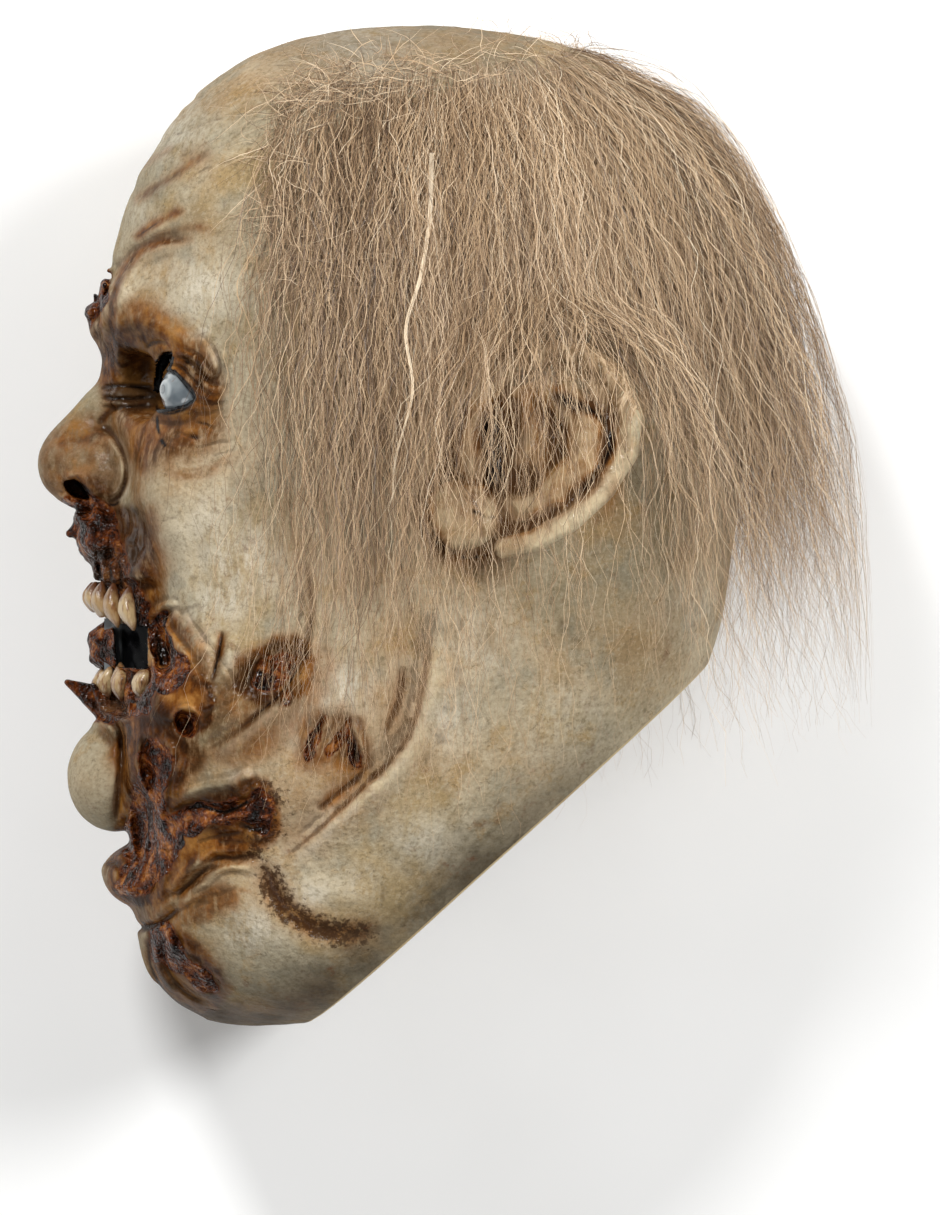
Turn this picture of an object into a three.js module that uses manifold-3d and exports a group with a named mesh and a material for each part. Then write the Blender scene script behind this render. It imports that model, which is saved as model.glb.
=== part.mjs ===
// A full head zombie mask of cast latex, with glued-on hair, lying on its right side.
// X runs from the face to the back of the head, Y from the chin to the crown, and Z is up, from the
// right cheek, which the mask lies on, to the left cheek. The origin is in the middle of the flat spot.
import * as THREE from "three";
import { mergeVertices } from "three/addons/utils/BufferGeometryUtils.js";
import Module from "manifold-3d";

const wasm = await Module();
wasm.setup();

// Driving dimensions, in millimetres
const WALL = 3; // the latex
const FACE_WALL = 5.5; // the latex behind the modelled face
const MID = 104; // height of the mask's middle plane above the spot it lies on
const HALF_WIDTH = 113; // from the middle plane to the cheek by the ear, before the right side lies flat
const CENTRE_Y = 15; // the middle of the head, level with the ears
const RIM_REACH = 98.2; // from the origin to the neck rim's plane
const RIM_ANGLE = THREE.MathUtils.degToRad(-48.1); // the way that the neck opening faces, in the XY plane
const HAIR_GAP = 0.9; // air between the hair and the latex
const HAIR_DEPTH = 7; // from the side of the head to the outside of the hair
const LOCKS = 26; // locks of hair, counted as if they went all the way round
const LOCK_DEPTH = 3.5;
const LAID_AT = 0.5; // height of the hair that lies under the mask

// Exponents of the head's sections, where 2 is an ellipse and more is squarer
const ROUNDNESS = { front: 1.85, back: 2.35, top: 2.5, under: 2.15 };

// The head's profile in the middle plane, without nose, lips and rolls, from the crown back and round
const PROFILE = [
  [-4, 200], [28, 198], [56, 191], [83, 175], [104, 151], [116, 122], [120.5, 87], [118.5, 49],
  [114.5, 11], [108.5, -26], [91, -70], [60, -117], [19, -153], [-23, -171], [-60, -175], [-89, -172.5],
  [-105, -162], [-111.5, -146], [-110, -130], [-113, -83], [-117.5, -50], [-119.5, 8],
  [-120.5, 60], [-122, 86], [-119, 115], [-108.5, 146], [-90, 173], [-63, 191], [-34, 198.5],
];

// The outside of the hair in the middle plane, where it stands off the back of the head
const HAIR_PROFILE = [
  [-4, 205], [30, 203], [58, 196], [88, 179], [112, 151], [128, 120], [140, 89], [149, 55], [155, 20],
  [158, -15], [160, -52], [110, -110], [20, -160], [-60, -178], [-105, -150], [-116, -60], [-121, 20],
  [-123, 86], [-110, 148], [-66, 195],
];

// Rounded masses that blend into the head: [x, y, distance from the middle plane], radii, blend width.
// A mass off the middle plane is there on both sides. turn is in degrees, in the XY plane, and
// filled is latex right through.
const MASSES = {
  browWound: { at: [-120, 91, 0], radii: [9, 12, 13], blend: 6, filled: true },
  brow: { at: [-103, 93, 31], radii: [19, 14, 29], blend: 10 },
  browTail: { at: [-86, 84, 57], radii: [17, 14, 19], blend: 10, turn: -30 },
  cheekbone: { at: [-74, 24, 60], radii: [28, 27, 28], blend: 22 },
  muzzle: { at: [-88, -34, 0], radii: [31, 52, 57], blend: 14 },
  noseBridge: { at: [-126, 52, 0], radii: [10, 23, 11], blend: 8, turn: -38, filled: true },
  noseTip: { at: [-134, 35, 0], radii: [13.5, 13.5, 16], blend: 7, filled: true },
  noseWing: { at: [-122, 33, 16], radii: [10, 12.5, 9], blend: 4, filled: true },
  upperLip: { at: [-121, 9, 0], radii: [12.5, 12, 27], blend: 6, filled: true },
  upperGum: { at: [-115, -7, 0], radii: [11, 13, 30], blend: 5, filled: true },
  betweenTeeth: { at: [-117, -33, 0], radii: [11.5, 17, 15], blend: 4, filled: true },
  lowerGum: { at: [-112, -60, 0], radii: [14, 11, 34], blend: 6, filled: true },
  ballSwelling: { at: [-118, -81.5, 0], radii: [18.7, 21, 28], blend: 5, filled: true },
  middleRoll: { at: [-103, -118.5, 0], radii: [20, 13.5, 48], blend: 6, filled: true },
  jowl: { at: [-42, -62, 56], radii: [68, 60, 54], blend: 22 },
  lowJowl: { at: [-42, -122, 46], radii: [60, 44, 44], blend: 18 },
};

// Hollows taken out of the head in the same way
const HOLLOWS = {
  eyeSocket: { at: [-106, 64, 44], radii: [18, 12, 22], blend: 7 },
  nostril: { at: [-133, 25, 8.5], radii: [7, 5, 4.5], blend: 2, turn: -25 },
  cheekHollow: { at: [-106, -30, 58], radii: [14, 22, 16], blend: 10 },
};
const EYEBALL = { at: [-90.5, 63.5, 44], radii: [13, 13, 13], blend: 1.5 };
// The latex is thicker behind the eyes, and behind the mouth, which is a blind recess
const THICKER = {
  behindEye: { at: [-104, 66, 42], radii: [27, 24, 38], blend: 8 },
  behindMouth: { at: [-112, -33, 0], radii: [18, 22, 56], blend: 6 },
};

// Creases and slits pressed into the left side, and some into both: a path of [x, y] and the radius of
// the tool that made them
const CREASES = [
  { path: [[2, -22], [-5, -46], [-17, -78], [-31, -92], [-45, -104], [-62, -114]], radius: 5, both: true },
  { path: [[-46, 0], [-45, -30], [-46, -41], [-61, -60], [-74, -72]], radius: 4.2 },
  { path: [[-92, -92], [-80, -99], [-62, -103]], radius: 4.5 },
  { path: [[-108, -69], [-103, -88], [-101, -110]], radius: 4 },
  { path: [[-73, -24], [-75, -36], [-79, -50]], radius: 3.5 },
  { path: [[-118, 104], [-113, 112], [-104, 119], [-92, 121]], radius: 3.2, both: true },
  { path: [[-110, 138], [-98, 147], [-82, 153]], radius: 2.8, both: true },
];

// The recess of the open mouth and the slit that the wearer looks through, over the painted eyeball
const OPEN_MOUTH = { from: [-119, -41, 15], to: [-106.5, -24.5, 80] };
const EYE_SLITS = {
  left: { from: [-104, 65, 22], to: [-98, 80, 60] },
  right: { from: [-97.5, 74, 22], to: [-91, 83, 58] },
};

// Rows of teeth on an arch: root is the height of the gum, length runs down from it, width is the wider
// radius, and taper the narrow end's share of it
const UPPER_TEETH = {
  count: 8,
  spread: 26,
  front: -127,
  back: 16,
  root: -7,
  length: 16.5,
  width: 4.4,
  taper: 0.5,
};
const LOWER_TEETH = {
  count: 8,
  spread: 28,
  front: -123,
  back: 18,
  root: -56,
  length: -16,
  width: 4.5,
  taper: 0.6,
};

// Torn flesh that stands out round the mouth: base, tip and the base's radius
const SHREDS = [
  { from: [-114, -57, 6], to: [-136, -47, 10], radius: 8.5 },
  { from: [-118, 14, 0], to: [-135, 10, 2], radius: 8 },
  { from: [-104, -8, 46], to: [-113, -26, 44], radius: 6.5 },
  { from: [-104, -8, -46], to: [-113, -26, -44], radius: 6.5 },
];

// The ear, laid back: a rim bent round a dished plate, with the inner parts on it
const EAR_FOOT = [18, 38]; // where its front edge meets the head
const EAR_LIFT = 0.42; // how fast the ear rises off the head towards its back edge
const EAR_TURN = 48; // degrees of the ear's length to the X axis
const EAR_RIM_RADIUS = 4.8;
const EAR_RIM = [
  [16, 44], [19, 57], [28, 68], [42, 73.5], [56, 72], [67, 63], [72, 50], [70, 37], [62, 24],
  [50, 13], [38, 6], [27, 3],
];
const EAR_PARTS = [
  { at: [42, 40, 0], radii: [40, 28, 6] },
  { at: [12.5, 15.5, 3], radii: [14, 14, 8] },
  { at: [36, 46, 9], radii: [26, 15, 7.5], hollow: true },
  { at: [54, 40, 2], radii: [22, 10, 8], turn: 62 },
  { at: [17, 35, 3], radii: [6, 9, 7], turn: 10 },
];

// The hair's edge on both sides: [x, y] along the top, down behind and up the front
const HAIRLINE = [
  [-55, 178], [-38, 184], [-11, 186.5], [26, 189.5], [50, 196], [86, 206], [150, 166], [180, 98], [184, -20],
  [168, -50],
];
const HAIR_FRONT = [[-61, -2], [-61.5, 60], [-61, 98], [-58, 140]];
// The lower edge runs between these in pointed locks
const LOWER_EDGE = { from: [150, -30], to: [-56, -12], tips: 9, drop: 18 };

// A closed curve through points in the middle plane
function closedCurve(points) {
  const curve = new THREE.CatmullRomCurve3(points.map(([x, y]) => new THREE.Vector3(x, y, 0)), true);
  curve.arcLengthDivisions = 600;
  return curve;
}

// A function from an angle round the head's centre to the distance of an outline there
function polarOutline(points) {
  const reach = closedCurve(points).getPoints(720).map((p) => ({
    angle: Math.atan2(p.y - CENTRE_Y, p.x),
    radius: Math.hypot(p.x, p.y - CENTRE_Y),
  }));
  reach.sort((a, b) => a.angle - b.angle);
  const first = reach[0];
  const last = reach[reach.length - 1];
  reach.unshift({ angle: last.angle - 2 * Math.PI, radius: last.radius });
  reach.push({ angle: first.angle + 2 * Math.PI, radius: first.radius });
  return (angle) => {
    let low = 0;
    let high = reach.length - 1;
    while (high - low > 1) {
      const middle = (low + high) >> 1;
      if (reach[middle].angle <= angle) low = middle;
      else high = middle;
    }
    const share = (angle - reach[low].angle) / Math.max(1e-9, reach[high].angle - reach[low].angle);
    return reach[low].radius + share * (reach[high].radius - reach[low].radius);
  };
}

const headCurve = closedCurve(PROFILE);
const headOutline = polarOutline(PROFILE);
const hairOutline = polarOutline(HAIR_PROFILE);

// How far a point is outside a rounded body with a profile and a half width: negative inside
function bodyDistance(x, y, side, outline, halfWidth) {
  const angle = Math.atan2(y - CENTRE_Y, x);
  const flat = Math.hypot(x, y - CENTRE_Y);
  const whole = Math.hypot(flat, side);
  const along = Math.cos(angle) ** 2;
  const n =
    along * (x < 0 ? ROUNDNESS.front : ROUNDNESS.back) +
    (1 - along) * (angle > 0 ? ROUNDNESS.top : ROUNDNESS.under);
  const share = Math.pow(Math.pow(flat / outline(angle), n) + Math.pow(Math.abs(side) / halfWidth, n), 1 / n);
  return whole * (1 - 1 / share);
}

// How far a point is outside an ellipsoid, which may be turned in the XY plane
function massDistance(x, y, side, { at, radii, turn = 0 }) {
  const angle = THREE.MathUtils.degToRad(turn);
  const dx = x - at[0];
  const dy = y - at[1];
  const u = (dx * Math.cos(angle) + dy * Math.sin(angle)) / radii[0];
  const v = (dy * Math.cos(angle) - dx * Math.sin(angle)) / radii[1];
  const w = (side - at[2]) / radii[2];
  const size = Math.hypot(u, v, w);
  const slope = Math.hypot(u / radii[0], v / radii[1], w / radii[2]);
  return slope < 1e-9 ? -Math.min(...radii) : (size * (size - 1)) / slope;
}

function smoothLeast(a, b, blend) {
  const overlap = Math.max(blend - Math.abs(a - b), 0) / blend;
  return Math.min(a, b) - (overlap * overlap * blend) / 4;
}

function distanceToPath(x, y, path) {
  let least = Infinity;
  for (let i = 1; i < path.length; i++) {
    const [ax, ay] = path[i - 1];
    const [bx, by] = path[i];
    const long = (bx - ax) ** 2 + (by - ay) ** 2;
    const share = THREE.MathUtils.clamp(((x - ax) * (bx - ax) + (y - ay) * (by - ay)) / long, 0, 1);
    least = Math.min(least, Math.hypot(x - ax - share * (bx - ax), y - ay - share * (by - ay)));
  }
  return least;
}

// The head without its creases, with or without the masses that are filled
function headDistance(x, y, side, withFilled) {
  let distance = bodyDistance(x, y, side, headOutline, HALF_WIDTH);
  for (const mass of Object.values(MASSES)) {
    if (mass.filled && !withFilled) continue;
    distance = smoothLeast(distance, massDistance(x, y, side, mass), mass.blend);
  }
  for (const hollow of Object.values(HOLLOWS)) {
    distance = -smoothLeast(-distance, massDistance(x, y, side, hollow), hollow.blend);
  }
  return smoothLeast(distance, massDistance(x, y, side, EYEBALL), EYEBALL.blend);
}

// How deep the creases push the latex in, smoothly, over a point of the XY plane
function creaseDepth(x, y) {
  let deepest = 0;
  for (const { path, radius } of CREASES) {
    deepest = Math.max(deepest, radius * Math.exp(-((distanceToPath(x, y, path) / (2.6 * radius)) ** 2)));
  }
  return deepest;
}

// The latex's outer surface: how far a point is outside it
function skinDistance(x, y, z) {
  return headDistance(x, y, Math.abs(z - MID), true);
}

// The latex's inner surface, which follows the outer one loosely
function innerDistance(x, y, z) {
  const side = Math.abs(z - MID);
  const wall = FACE_WALL + (WALL - FACE_WALL) * THREE.MathUtils.smoothstep(x, -75, -20);
  let distance = headDistance(x, y, side, false) + creaseDepth(x, y) + wall;
  for (const mass of Object.values(THICKER)) {
    distance = -smoothLeast(-distance, massDistance(x, y, side, mass), mass.blend);
  }
  return distance;
}

// The hair's outer surface without its locks, thinner towards the forehead
function hairDistance(x, y, z) {
  const side = Math.abs(z - MID);
  const thin = 2.4 * (1 - THREE.MathUtils.smoothstep(x, -72, -30));
  return bodyDistance(x, y, side, hairOutline, HALF_WIDTH + HAIR_DEPTH) + thin;
}

// A sphere whose points are pushed out from the head's middle until they meet a surface.
// crowd draws the columns towards the face and the rows towards the middle plane,
// and floor keeps the right side flat at that height.
function pushedSphere(distanceAt, { columns, rows, crowd = 0, floor = 0 }) {
  const faceShare = 0.75; // of the way round the profile
  const spine = 0.6; // how far the rays start towards the chin and the crown
  const geometry = new THREE.SphereGeometry(1, columns, rows);
  geometry.rotateX(Math.PI / 2);
  const position = geometry.getAttribute("position");
  for (let i = 0; i < position.count; i++) {
    const around = 1 - Math.atan2(position.getY(i), position.getX(i)) / (2 * Math.PI);
    const warp = (crowd / (2 * Math.PI)) * Math.sin(2 * Math.PI * (around - faceShare));
    const onProfile = headCurve.getPointAt((((around - warp) % 1) + 1) % 1);
    const climb = Math.asin(THREE.MathUtils.clamp(position.getZ(i), -1, 1)) / (Math.PI / 2);
    const rise = (Math.PI / 2) * ((1 - crowd) * climb + crowd * climb ** 3);
    const offset = spine * (onProfile.y - CENTRE_Y);
    const heading = Math.atan2(onProfile.y - CENTRE_Y - offset, onProfile.x);
    const startY = CENTRE_Y + offset * Math.cos(rise) ** 2;
    const way = new THREE.Vector3(
      Math.cos(heading) * Math.cos(rise),
      Math.sin(heading) * Math.cos(rise),
      Math.sin(rise),
    );
    let reach = pushOut((t) => distanceAt(way.x * t, startY + way.y * t, MID + way.z * t));
    if (way.z < 0) reach = Math.min(reach, (MID - floor) / -way.z);
    position.setXYZ(i, way.x * reach, startY + way.y * reach, MID + way.z * reach);
  }
  return geometry;
}

// The outermost distance along a ray at which a surface is met
function pushOut(at) {
  const farthest = 240;
  const step = 3;
  let outside = farthest;
  while (outside > 2 * step && at(outside - step) > 0) outside -= step;
  let inside = outside - step;
  for (let i = 0; i < 14; i++) {
    const middle = (inside + outside) / 2;
    if (at(middle) > 0) outside = middle;
    else inside = middle;
  }
  return inside;
}

// A geometry as a manifold solid, with only its positions kept and its shared points merged
function solid(geometry) {
  const plain = new THREE.BufferGeometry();
  plain.setAttribute("position", geometry.getAttribute("position"));
  if (geometry.index) plain.setIndex(geometry.index);
  const merged = mergeVertices(plain, 1e-3);
  const kept = [];
  const index = merged.index.array;
  for (let i = 0; i < index.length; i += 3) {
    const [a, b, c] = index.slice(i, i + 3);
    if (a !== b && b !== c && c !== a) kept.push(a, b, c);
  }
  const vertProperties = new Float32Array(merged.getAttribute("position").array);
  return new wasm.Manifold(new wasm.Mesh({ numProp: 3, vertProperties, triVerts: new Uint32Array(kept) }));
}

function meshOf(manifold, name, material) {
  const { vertProperties, triVerts, numProp } = manifold.getMesh();
  const points = new Float32Array((vertProperties.length / numProp) * 3);
  for (let i = 0; i < points.length / 3; i++) {
    points.set(vertProperties.subarray(i * numProp, i * numProp + 3), i * 3);
  }
  const geometry = new THREE.BufferGeometry();
  geometry.setAttribute("position", new THREE.BufferAttribute(points, 3));
  geometry.setIndex(new THREE.BufferAttribute(new Uint32Array(triVerts), 1));
  geometry.computeVertexNormals();
  const mesh = new THREE.Mesh(geometry, material);
  mesh.name = name;
  return mesh;
}

function box(from, to) {
  const size = to.map((value, i) => value - from[i]);
  return new THREE.BoxGeometry(...size).translate(...from.map((value, i) => value + size[i] / 2));
}

// A box on one side of the middle plane: side is 1 for the left and -1 for the right
function sideBox({ from, to }, side) {
  const near = MID + side * from[2];
  const far = MID + side * to[2];
  return solid(box([from[0], from[1], Math.min(near, far)], [to[0], to[1], Math.max(near, far)]));
}

// The plane of the neck rim: all that lies past it is cut away
function neckCutter() {
  const depth = 220;
  const width = 520;
  const block = new THREE.BoxGeometry(depth, width, width);
  return solid(block.translate(RIM_REACH + depth / 2, 0, MID).rotateZ(RIM_ANGLE));
}

// How high the left side's skin is over a point of the XY plane
function sideHeight(x, y) {
  let low = MID;
  let high = MID + 140;
  for (let i = 0; i < 20; i++) {
    const middle = (low + high) / 2;
    if (skinDistance(x, y, middle) > 0) high = middle;
    else low = middle;
  }
  return low;
}

// An ear on a foot at a height, rising by lift towards its back edge and thick times its full depth,
// whole or only as the plate and the lobe
function ear(height, lift, thick, whole, grow) {
  const turn = THREE.MathUtils.degToRad(EAR_TURN);
  const [footX, footY] = EAR_FOOT;
  const slopeX = lift * Math.sin(turn);
  const slopeY = -lift * Math.cos(turn);
  const place = new THREE.Matrix4();
  const level = height - slopeX * footX - slopeY * footY;
  place.set(1, 0, 0, 0, 0, 1, 0, 0, slopeX, slopeY, thick, level, 0, 0, 0, 1);
  const section = new THREE.Shape().absarc(0, 0, EAR_RIM_RADIUS + grow, 0, 2 * Math.PI);
  const rim = new THREE.ExtrudeGeometry(section, {
    extrudePath: new THREE.CatmullRomCurve3(EAR_RIM.map(([x, y]) => new THREE.Vector3(x, y, 3))),
    steps: 13,
    curveSegments: 3,
    bevelEnabled: false,
  });
  const parts = EAR_PARTS.slice(0, whole ? EAR_PARTS.length : 2).map((part) => {
    const body = new THREE.SphereGeometry(1, 11, 5);
    body.scale(...part.radii.map((radius) => radius + (part.hollow ? -grow : grow)));
    body.rotateZ(THREE.MathUtils.degToRad(part.turn ?? EAR_TURN)).translate(...part.at);
    return { hollow: part.hollow, body: solid(body.applyMatrix4(place)) };
  });
  let joined = parts[0].body;
  if (whole) joined = joined.add(solid(rim.applyMatrix4(place)));
  for (const { hollow, body } of parts.slice(1)) {
    joined = hollow ? joined.subtract(body) : joined.add(body);
  }
  return joined;
}

const leftEar = (grow = 0) => ear(sideHeight(...EAR_FOOT) + 1, EAR_LIFT, 1, true, grow);
// The right ear is pressed flat, into a shallow dent between the head and what the mask lies on
const rightEar = (grow = 0) => ear(1.5, 0, 0.7, false, grow);
const rightDent = () => {
  const dent = new THREE.SphereGeometry(1, 18, 8);
  return solid(dent.scale(50, 42, 6).rotateZ(THREE.MathUtils.degToRad(EAR_TURN)).translate(40, 38, 0));
};

// A row of teeth, each a tapered five-sided peg
function teeth({ count, spread, front, back, root, length, width, taper }) {
  const pegs = [];
  for (let i = 0; i < count; i++) {
    const share = (2 * (i + 0.5)) / count - 1;
    const size = width * (i % 3 === 1 ? 0.85 : 1);
    const tall = length * (i % 2 === 0 ? 1 : 0.88);
    const peg = new THREE.CylinderGeometry(size, size * taper, Math.abs(tall), 5);
    if (tall < 0) peg.rotateX(Math.PI);
    peg.scale(0.75, 1, 1);
    peg.translate(front + back * share * share, root - tall / 2, MID + share * spread);
    pegs.push(solid(peg));
  }
  return pegs;
}

function shred({ from, to, radius }) {
  const start = new THREE.Vector3(from[0], from[1], MID + from[2]);
  const way = new THREE.Vector3(to[0], to[1], MID + to[2]).sub(start);
  const cone = new THREE.CylinderGeometry(1, radius, way.length(), 6);
  cone.translate(0, way.length() / 2, 0);
  cone.applyQuaternion(new THREE.Quaternion().setFromUnitVectors(new THREE.Vector3(0, 1, 0), way.normalize()));
  return solid(cone.translate(start.x, start.y, start.z));
}

// A round groove along a crease, which comes out of the surface at both ends
function crease({ path, radius }, side) {
  const ends = path.length - 1;
  const route = path.map(([x, y], i) => {
    const out = i === 0 || i === ends ? 0.9 * radius : 0.35 * radius;
    return new THREE.Vector3(x, y, MID + side * (sideHeight(x, y) - MID + out));
  });
  const section = new THREE.Shape().absarc(0, 0, radius, 0, 2 * Math.PI);
  return solid(
    new THREE.ExtrudeGeometry(section, {
      extrudePath: new THREE.CatmullRomCurve3(route),
      steps: 2 * ends,
      curveSegments: 3,
      bevelEnabled: false,
    }),
  );
}

// The whole head, finer in front than behind, and larger by grow
function headSolid(grow) {
  const split = -62;
  const wide = 400;
  const distance = (x, y, z) => skinDistance(x, y, z) - grow;
  const fine = solid(pushedSphere(distance, { columns: 75, rows: 26, crowd: 0.45 }));
  const coarse = solid(pushedSphere(distance, { columns: 34, rows: 18 }));
  const front = fine.intersect(solid(box([-wide, -wide, -wide], [split, wide, wide])));
  return front.add(coarse.intersect(solid(box([split, -wide, -wide], [wide, wide, wide]))));
}

// The latex: hollow, with its neck, eyes and mouth opened
function maskSkin() {
  const wide = 400;
  let skin = headSolid(0).add(leftEar()).subtract(rightDent()).add(rightEar());
  for (const side of [1, -1]) {
    skin = skin.subtract(sideBox(OPEN_MOUTH, side));
    for (const fold of CREASES) {
      if (side > 0 || fold.both) skin = skin.subtract(crease(fold, side));
    }
  }
  for (const peg of [...teeth(UPPER_TEETH), ...teeth(LOWER_TEETH)]) skin = skin.add(peg);
  for (const piece of SHREDS) skin = skin.add(shred(piece));
  const inner = solid(pushedSphere(innerDistance, { columns: 27, rows: 14, crowd: 0.2, floor: WALL }));
  skin = skin.subtract(inner.subtract(rightDent().translate(0, 0, WALL)));
  skin = skin.subtract(sideBox(EYE_SLITS.left, 1)).subtract(sideBox(EYE_SLITS.right, -1));
  return skin.subtract(neckCutter()).subtract(solid(box([-wide, -wide, -wide], [wide, wide, 0])));
}

// The area that the hair covers, seen from the side
function hairOutlineShape() {
  const shape = new THREE.Shape();
  shape.moveTo(...HAIRLINE[0]);
  for (const point of HAIRLINE.slice(1)) shape.lineTo(...point);
  const { from, to, tips, drop } = LOWER_EDGE;
  for (let i = 0; i < tips; i++) {
    const share = i / (tips - 1);
    const deep = drop * (0.6 + 0.4 * Math.sin(5 * i));
    const x = from[0] + share * (to[0] - from[0]);
    const y = from[1] + share * (to[1] - from[1]);
    shape.lineTo(x, y - deep);
    if (i < tips - 1) shape.lineTo(x - 13, y + 6);
  }
  for (const point of HAIR_FRONT) shape.lineTo(...point);
  return shape;
}

// The outside of the hair: every other column of points is a groove between two locks
function hairOutside() {
  const middle = [10, 60];
  const columns = 2 * LOCKS;
  const geometry = new THREE.SphereGeometry(1, columns, 12);
  const position = geometry.getAttribute("position");
  for (let i = 0; i < position.count; i++) {
    const way = new THREE.Vector3().fromBufferAttribute(position, i).normalize();
    const column = Math.round((Math.atan2(way.z, way.x) / (2 * Math.PI)) * columns);
    const flat = Math.hypot(way.x, way.z);
    way.applyAxisAngle(new THREE.Vector3(0, 1, 0), 0.05 * Math.sin(7 * way.y));
    const at = (t) => hairDistance(middle[0] + way.x * t, middle[1] + way.y * t, MID + way.z * t);
    let reach = pushOut(at);
    if (Math.abs(column) % 2 === 1) reach -= LOCK_DEPTH * flat;
    if (way.z < 0) reach = Math.min(reach, (MID - LAID_AT) / -way.z);
    position.setXYZ(i, middle[0] + way.x * reach, middle[1] + way.y * reach, MID + way.z * reach);
  }
  return solid(geometry);
}

// Gaps between the hair's ends behind, as wedges that run from the back inwards
function endGaps() {
  const gaps = [];
  for (let i = 0; i < 7; i++) {
    const wedge = new THREE.CylinderGeometry(16, 16, 120, 3);
    wedge.rotateZ(Math.PI / 2).scale(1, 1 + 0.35 * Math.sin(3 * i), 0.55);
    gaps.push(solid(wedge.translate(130, -50, MID - 84 + 28 * i)));
  }
  return gaps;
}

function hairSolid() {
  const height = 300;
  const area = new THREE.ExtrudeGeometry(hairOutlineShape(), { depth: height, bevelEnabled: false });
  const clearance = (x, y, z) => skinDistance(x, y, z) - HAIR_GAP;
  let hair = hairOutside()
    .intersect(solid(area.translate(0, 0, -40)))
    .subtract(solid(pushedSphere(clearance, { columns: 34, rows: 18 })))
    .subtract(leftEar(HAIR_GAP))
    .subtract(rightEar(HAIR_GAP));
  for (const gap of endGaps()) hair = hair.subtract(gap);
  return hair;
}

const latex = new THREE.MeshStandardMaterial({ color: 0xb5a888, roughness: 0.5, metalness: 0 });
const hairColour = new THREE.MeshStandardMaterial({ color: 0x9c8263, roughness: 0.8, metalness: 0 });

const mask = new THREE.Group();
mask.add(meshOf(maskSkin(), "mask_skin", latex));
mask.add(meshOf(hairSolid(), "hair", hairColour));

export default mask;
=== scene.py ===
"""The looks of a full head zombie mask of painted latex with glued-on hair, lying on its right side.

Everything is worked out in millimetres, in the frame of the CAD model: X from the face to the back of
the head, Y from the chin to the crown, Z up, from the right cheek to the left one. Paint and relief are
drawn in the photograph's own pixels, and carried onto the head along the lines of sight of the camera.
"""

import math

import bmesh
import bpy
import numpy as np
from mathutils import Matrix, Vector


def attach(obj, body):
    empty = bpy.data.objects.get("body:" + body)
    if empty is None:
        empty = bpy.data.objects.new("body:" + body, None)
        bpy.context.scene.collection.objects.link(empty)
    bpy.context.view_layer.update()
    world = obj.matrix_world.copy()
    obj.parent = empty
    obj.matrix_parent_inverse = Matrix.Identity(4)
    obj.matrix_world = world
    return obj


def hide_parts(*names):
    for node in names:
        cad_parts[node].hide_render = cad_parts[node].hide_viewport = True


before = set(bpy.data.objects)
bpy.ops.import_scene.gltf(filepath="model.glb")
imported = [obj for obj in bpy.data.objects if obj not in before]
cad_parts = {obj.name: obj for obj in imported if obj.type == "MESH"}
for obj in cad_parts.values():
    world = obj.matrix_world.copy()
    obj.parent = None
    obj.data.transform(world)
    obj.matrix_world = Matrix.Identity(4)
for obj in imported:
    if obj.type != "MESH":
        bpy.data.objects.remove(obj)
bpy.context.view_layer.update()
MM = 0.001

# Camera and photograph
VIEW_CENTRE = (15.1, -17.9)  # where the middle of the photograph looks
VIEW_PIXEL = 0.377  # millimetres in one pixel, in the mask's middle plane
PHOTO = (940, 1215)
CAMERA_HEIGHT = 2200.0  # over the middle plane

# The head, as in the CAD model
WALL = 3.0
FACE_WALL = 5.5
MID = 104.0
HALF_WIDTH = 113.0
CENTRE_Y = 15.0
RIM_REACH = 98.2
RIM_ANGLE = math.radians(-48.1)
ROUNDNESS = {"front": 1.85, "back": 2.35, "top": 2.5, "under": 2.15}
PROFILE = [
    (-4, 200), (28, 198), (56, 191), (83, 175), (104, 151), (116, 122), (120.5, 87), (118.5, 49),
    (114.5, 11), (108.5, -26), (91, -70), (60, -117), (19, -153), (-23, -171), (-60, -175),
    (-89, -172.5), (-105, -162), (-111.5, -146), (-110, -130), (-113, -83), (-117.5, -50),
    (-119.5, 8), (-120.5, 60), (-122, 86), (-119, 115), (-108.5, 146), (-90, 173), (-63, 191),
    (-34, 198.5),
]
# Masses that blend into the head: place (the third number is the distance from the middle plane),
# radii, blend width, turn in the XY plane in degrees, and whether the latex is solid there
MASSES = [
    ((-120, 91, 0), (9, 12, 13), 6, 0, True),  # wound between the brows
    ((-103, 93, 31), (19, 14, 29), 10, 0, False),  # brow
    ((-86, 84, 57), (17, 14, 19), 10, -30, False),  # brow's outer end
    ((-74, 24, 60), (28, 27, 28), 22, 0, False),  # cheekbone
    ((-88, -34, 0), (31, 52, 57), 14, 0, False),  # muzzle
    ((-126, 52, 0), (10, 23, 11), 9, -38, True),  # bridge of the nose
    ((-134, 35, 0), (13.5, 13.5, 15), 10, 0, True),  # tip of the nose
    ((-123, 33, 13), (11.5, 12.5, 11), 8, 0, True),  # wing of the nose
    ((-129, 23.5, 0), (8.5, 4.5, 12), 4, 0, True),  # under the nose
    ((-121, 9, 0), (12.5, 12, 27), 6, 0, True),  # upper lip
    ((-115, -7, 0), (11, 13, 30), 5, 0, True),  # upper gum
    ((-117, -33, 0), (11.5, 17, 15), 4, 0, True),  # flesh between the teeth
    ((-112, -60, 0), (14, 11, 34), 6, 0, True),  # lower gum
    ((-118, -81.5, 0), (18.7, 21, 28), 5, 0, True),  # ball-shaped swelling
    ((-103, -118.5, 0), (20, 13.5, 48), 6, 0, True),  # middle roll
    ((-42, -62, 56), (68, 60, 54), 22, 0, False),  # jowl
    ((-42, -122, 46), (60, 44, 44), 18, 0, False),  # lower jowl
]
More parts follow.
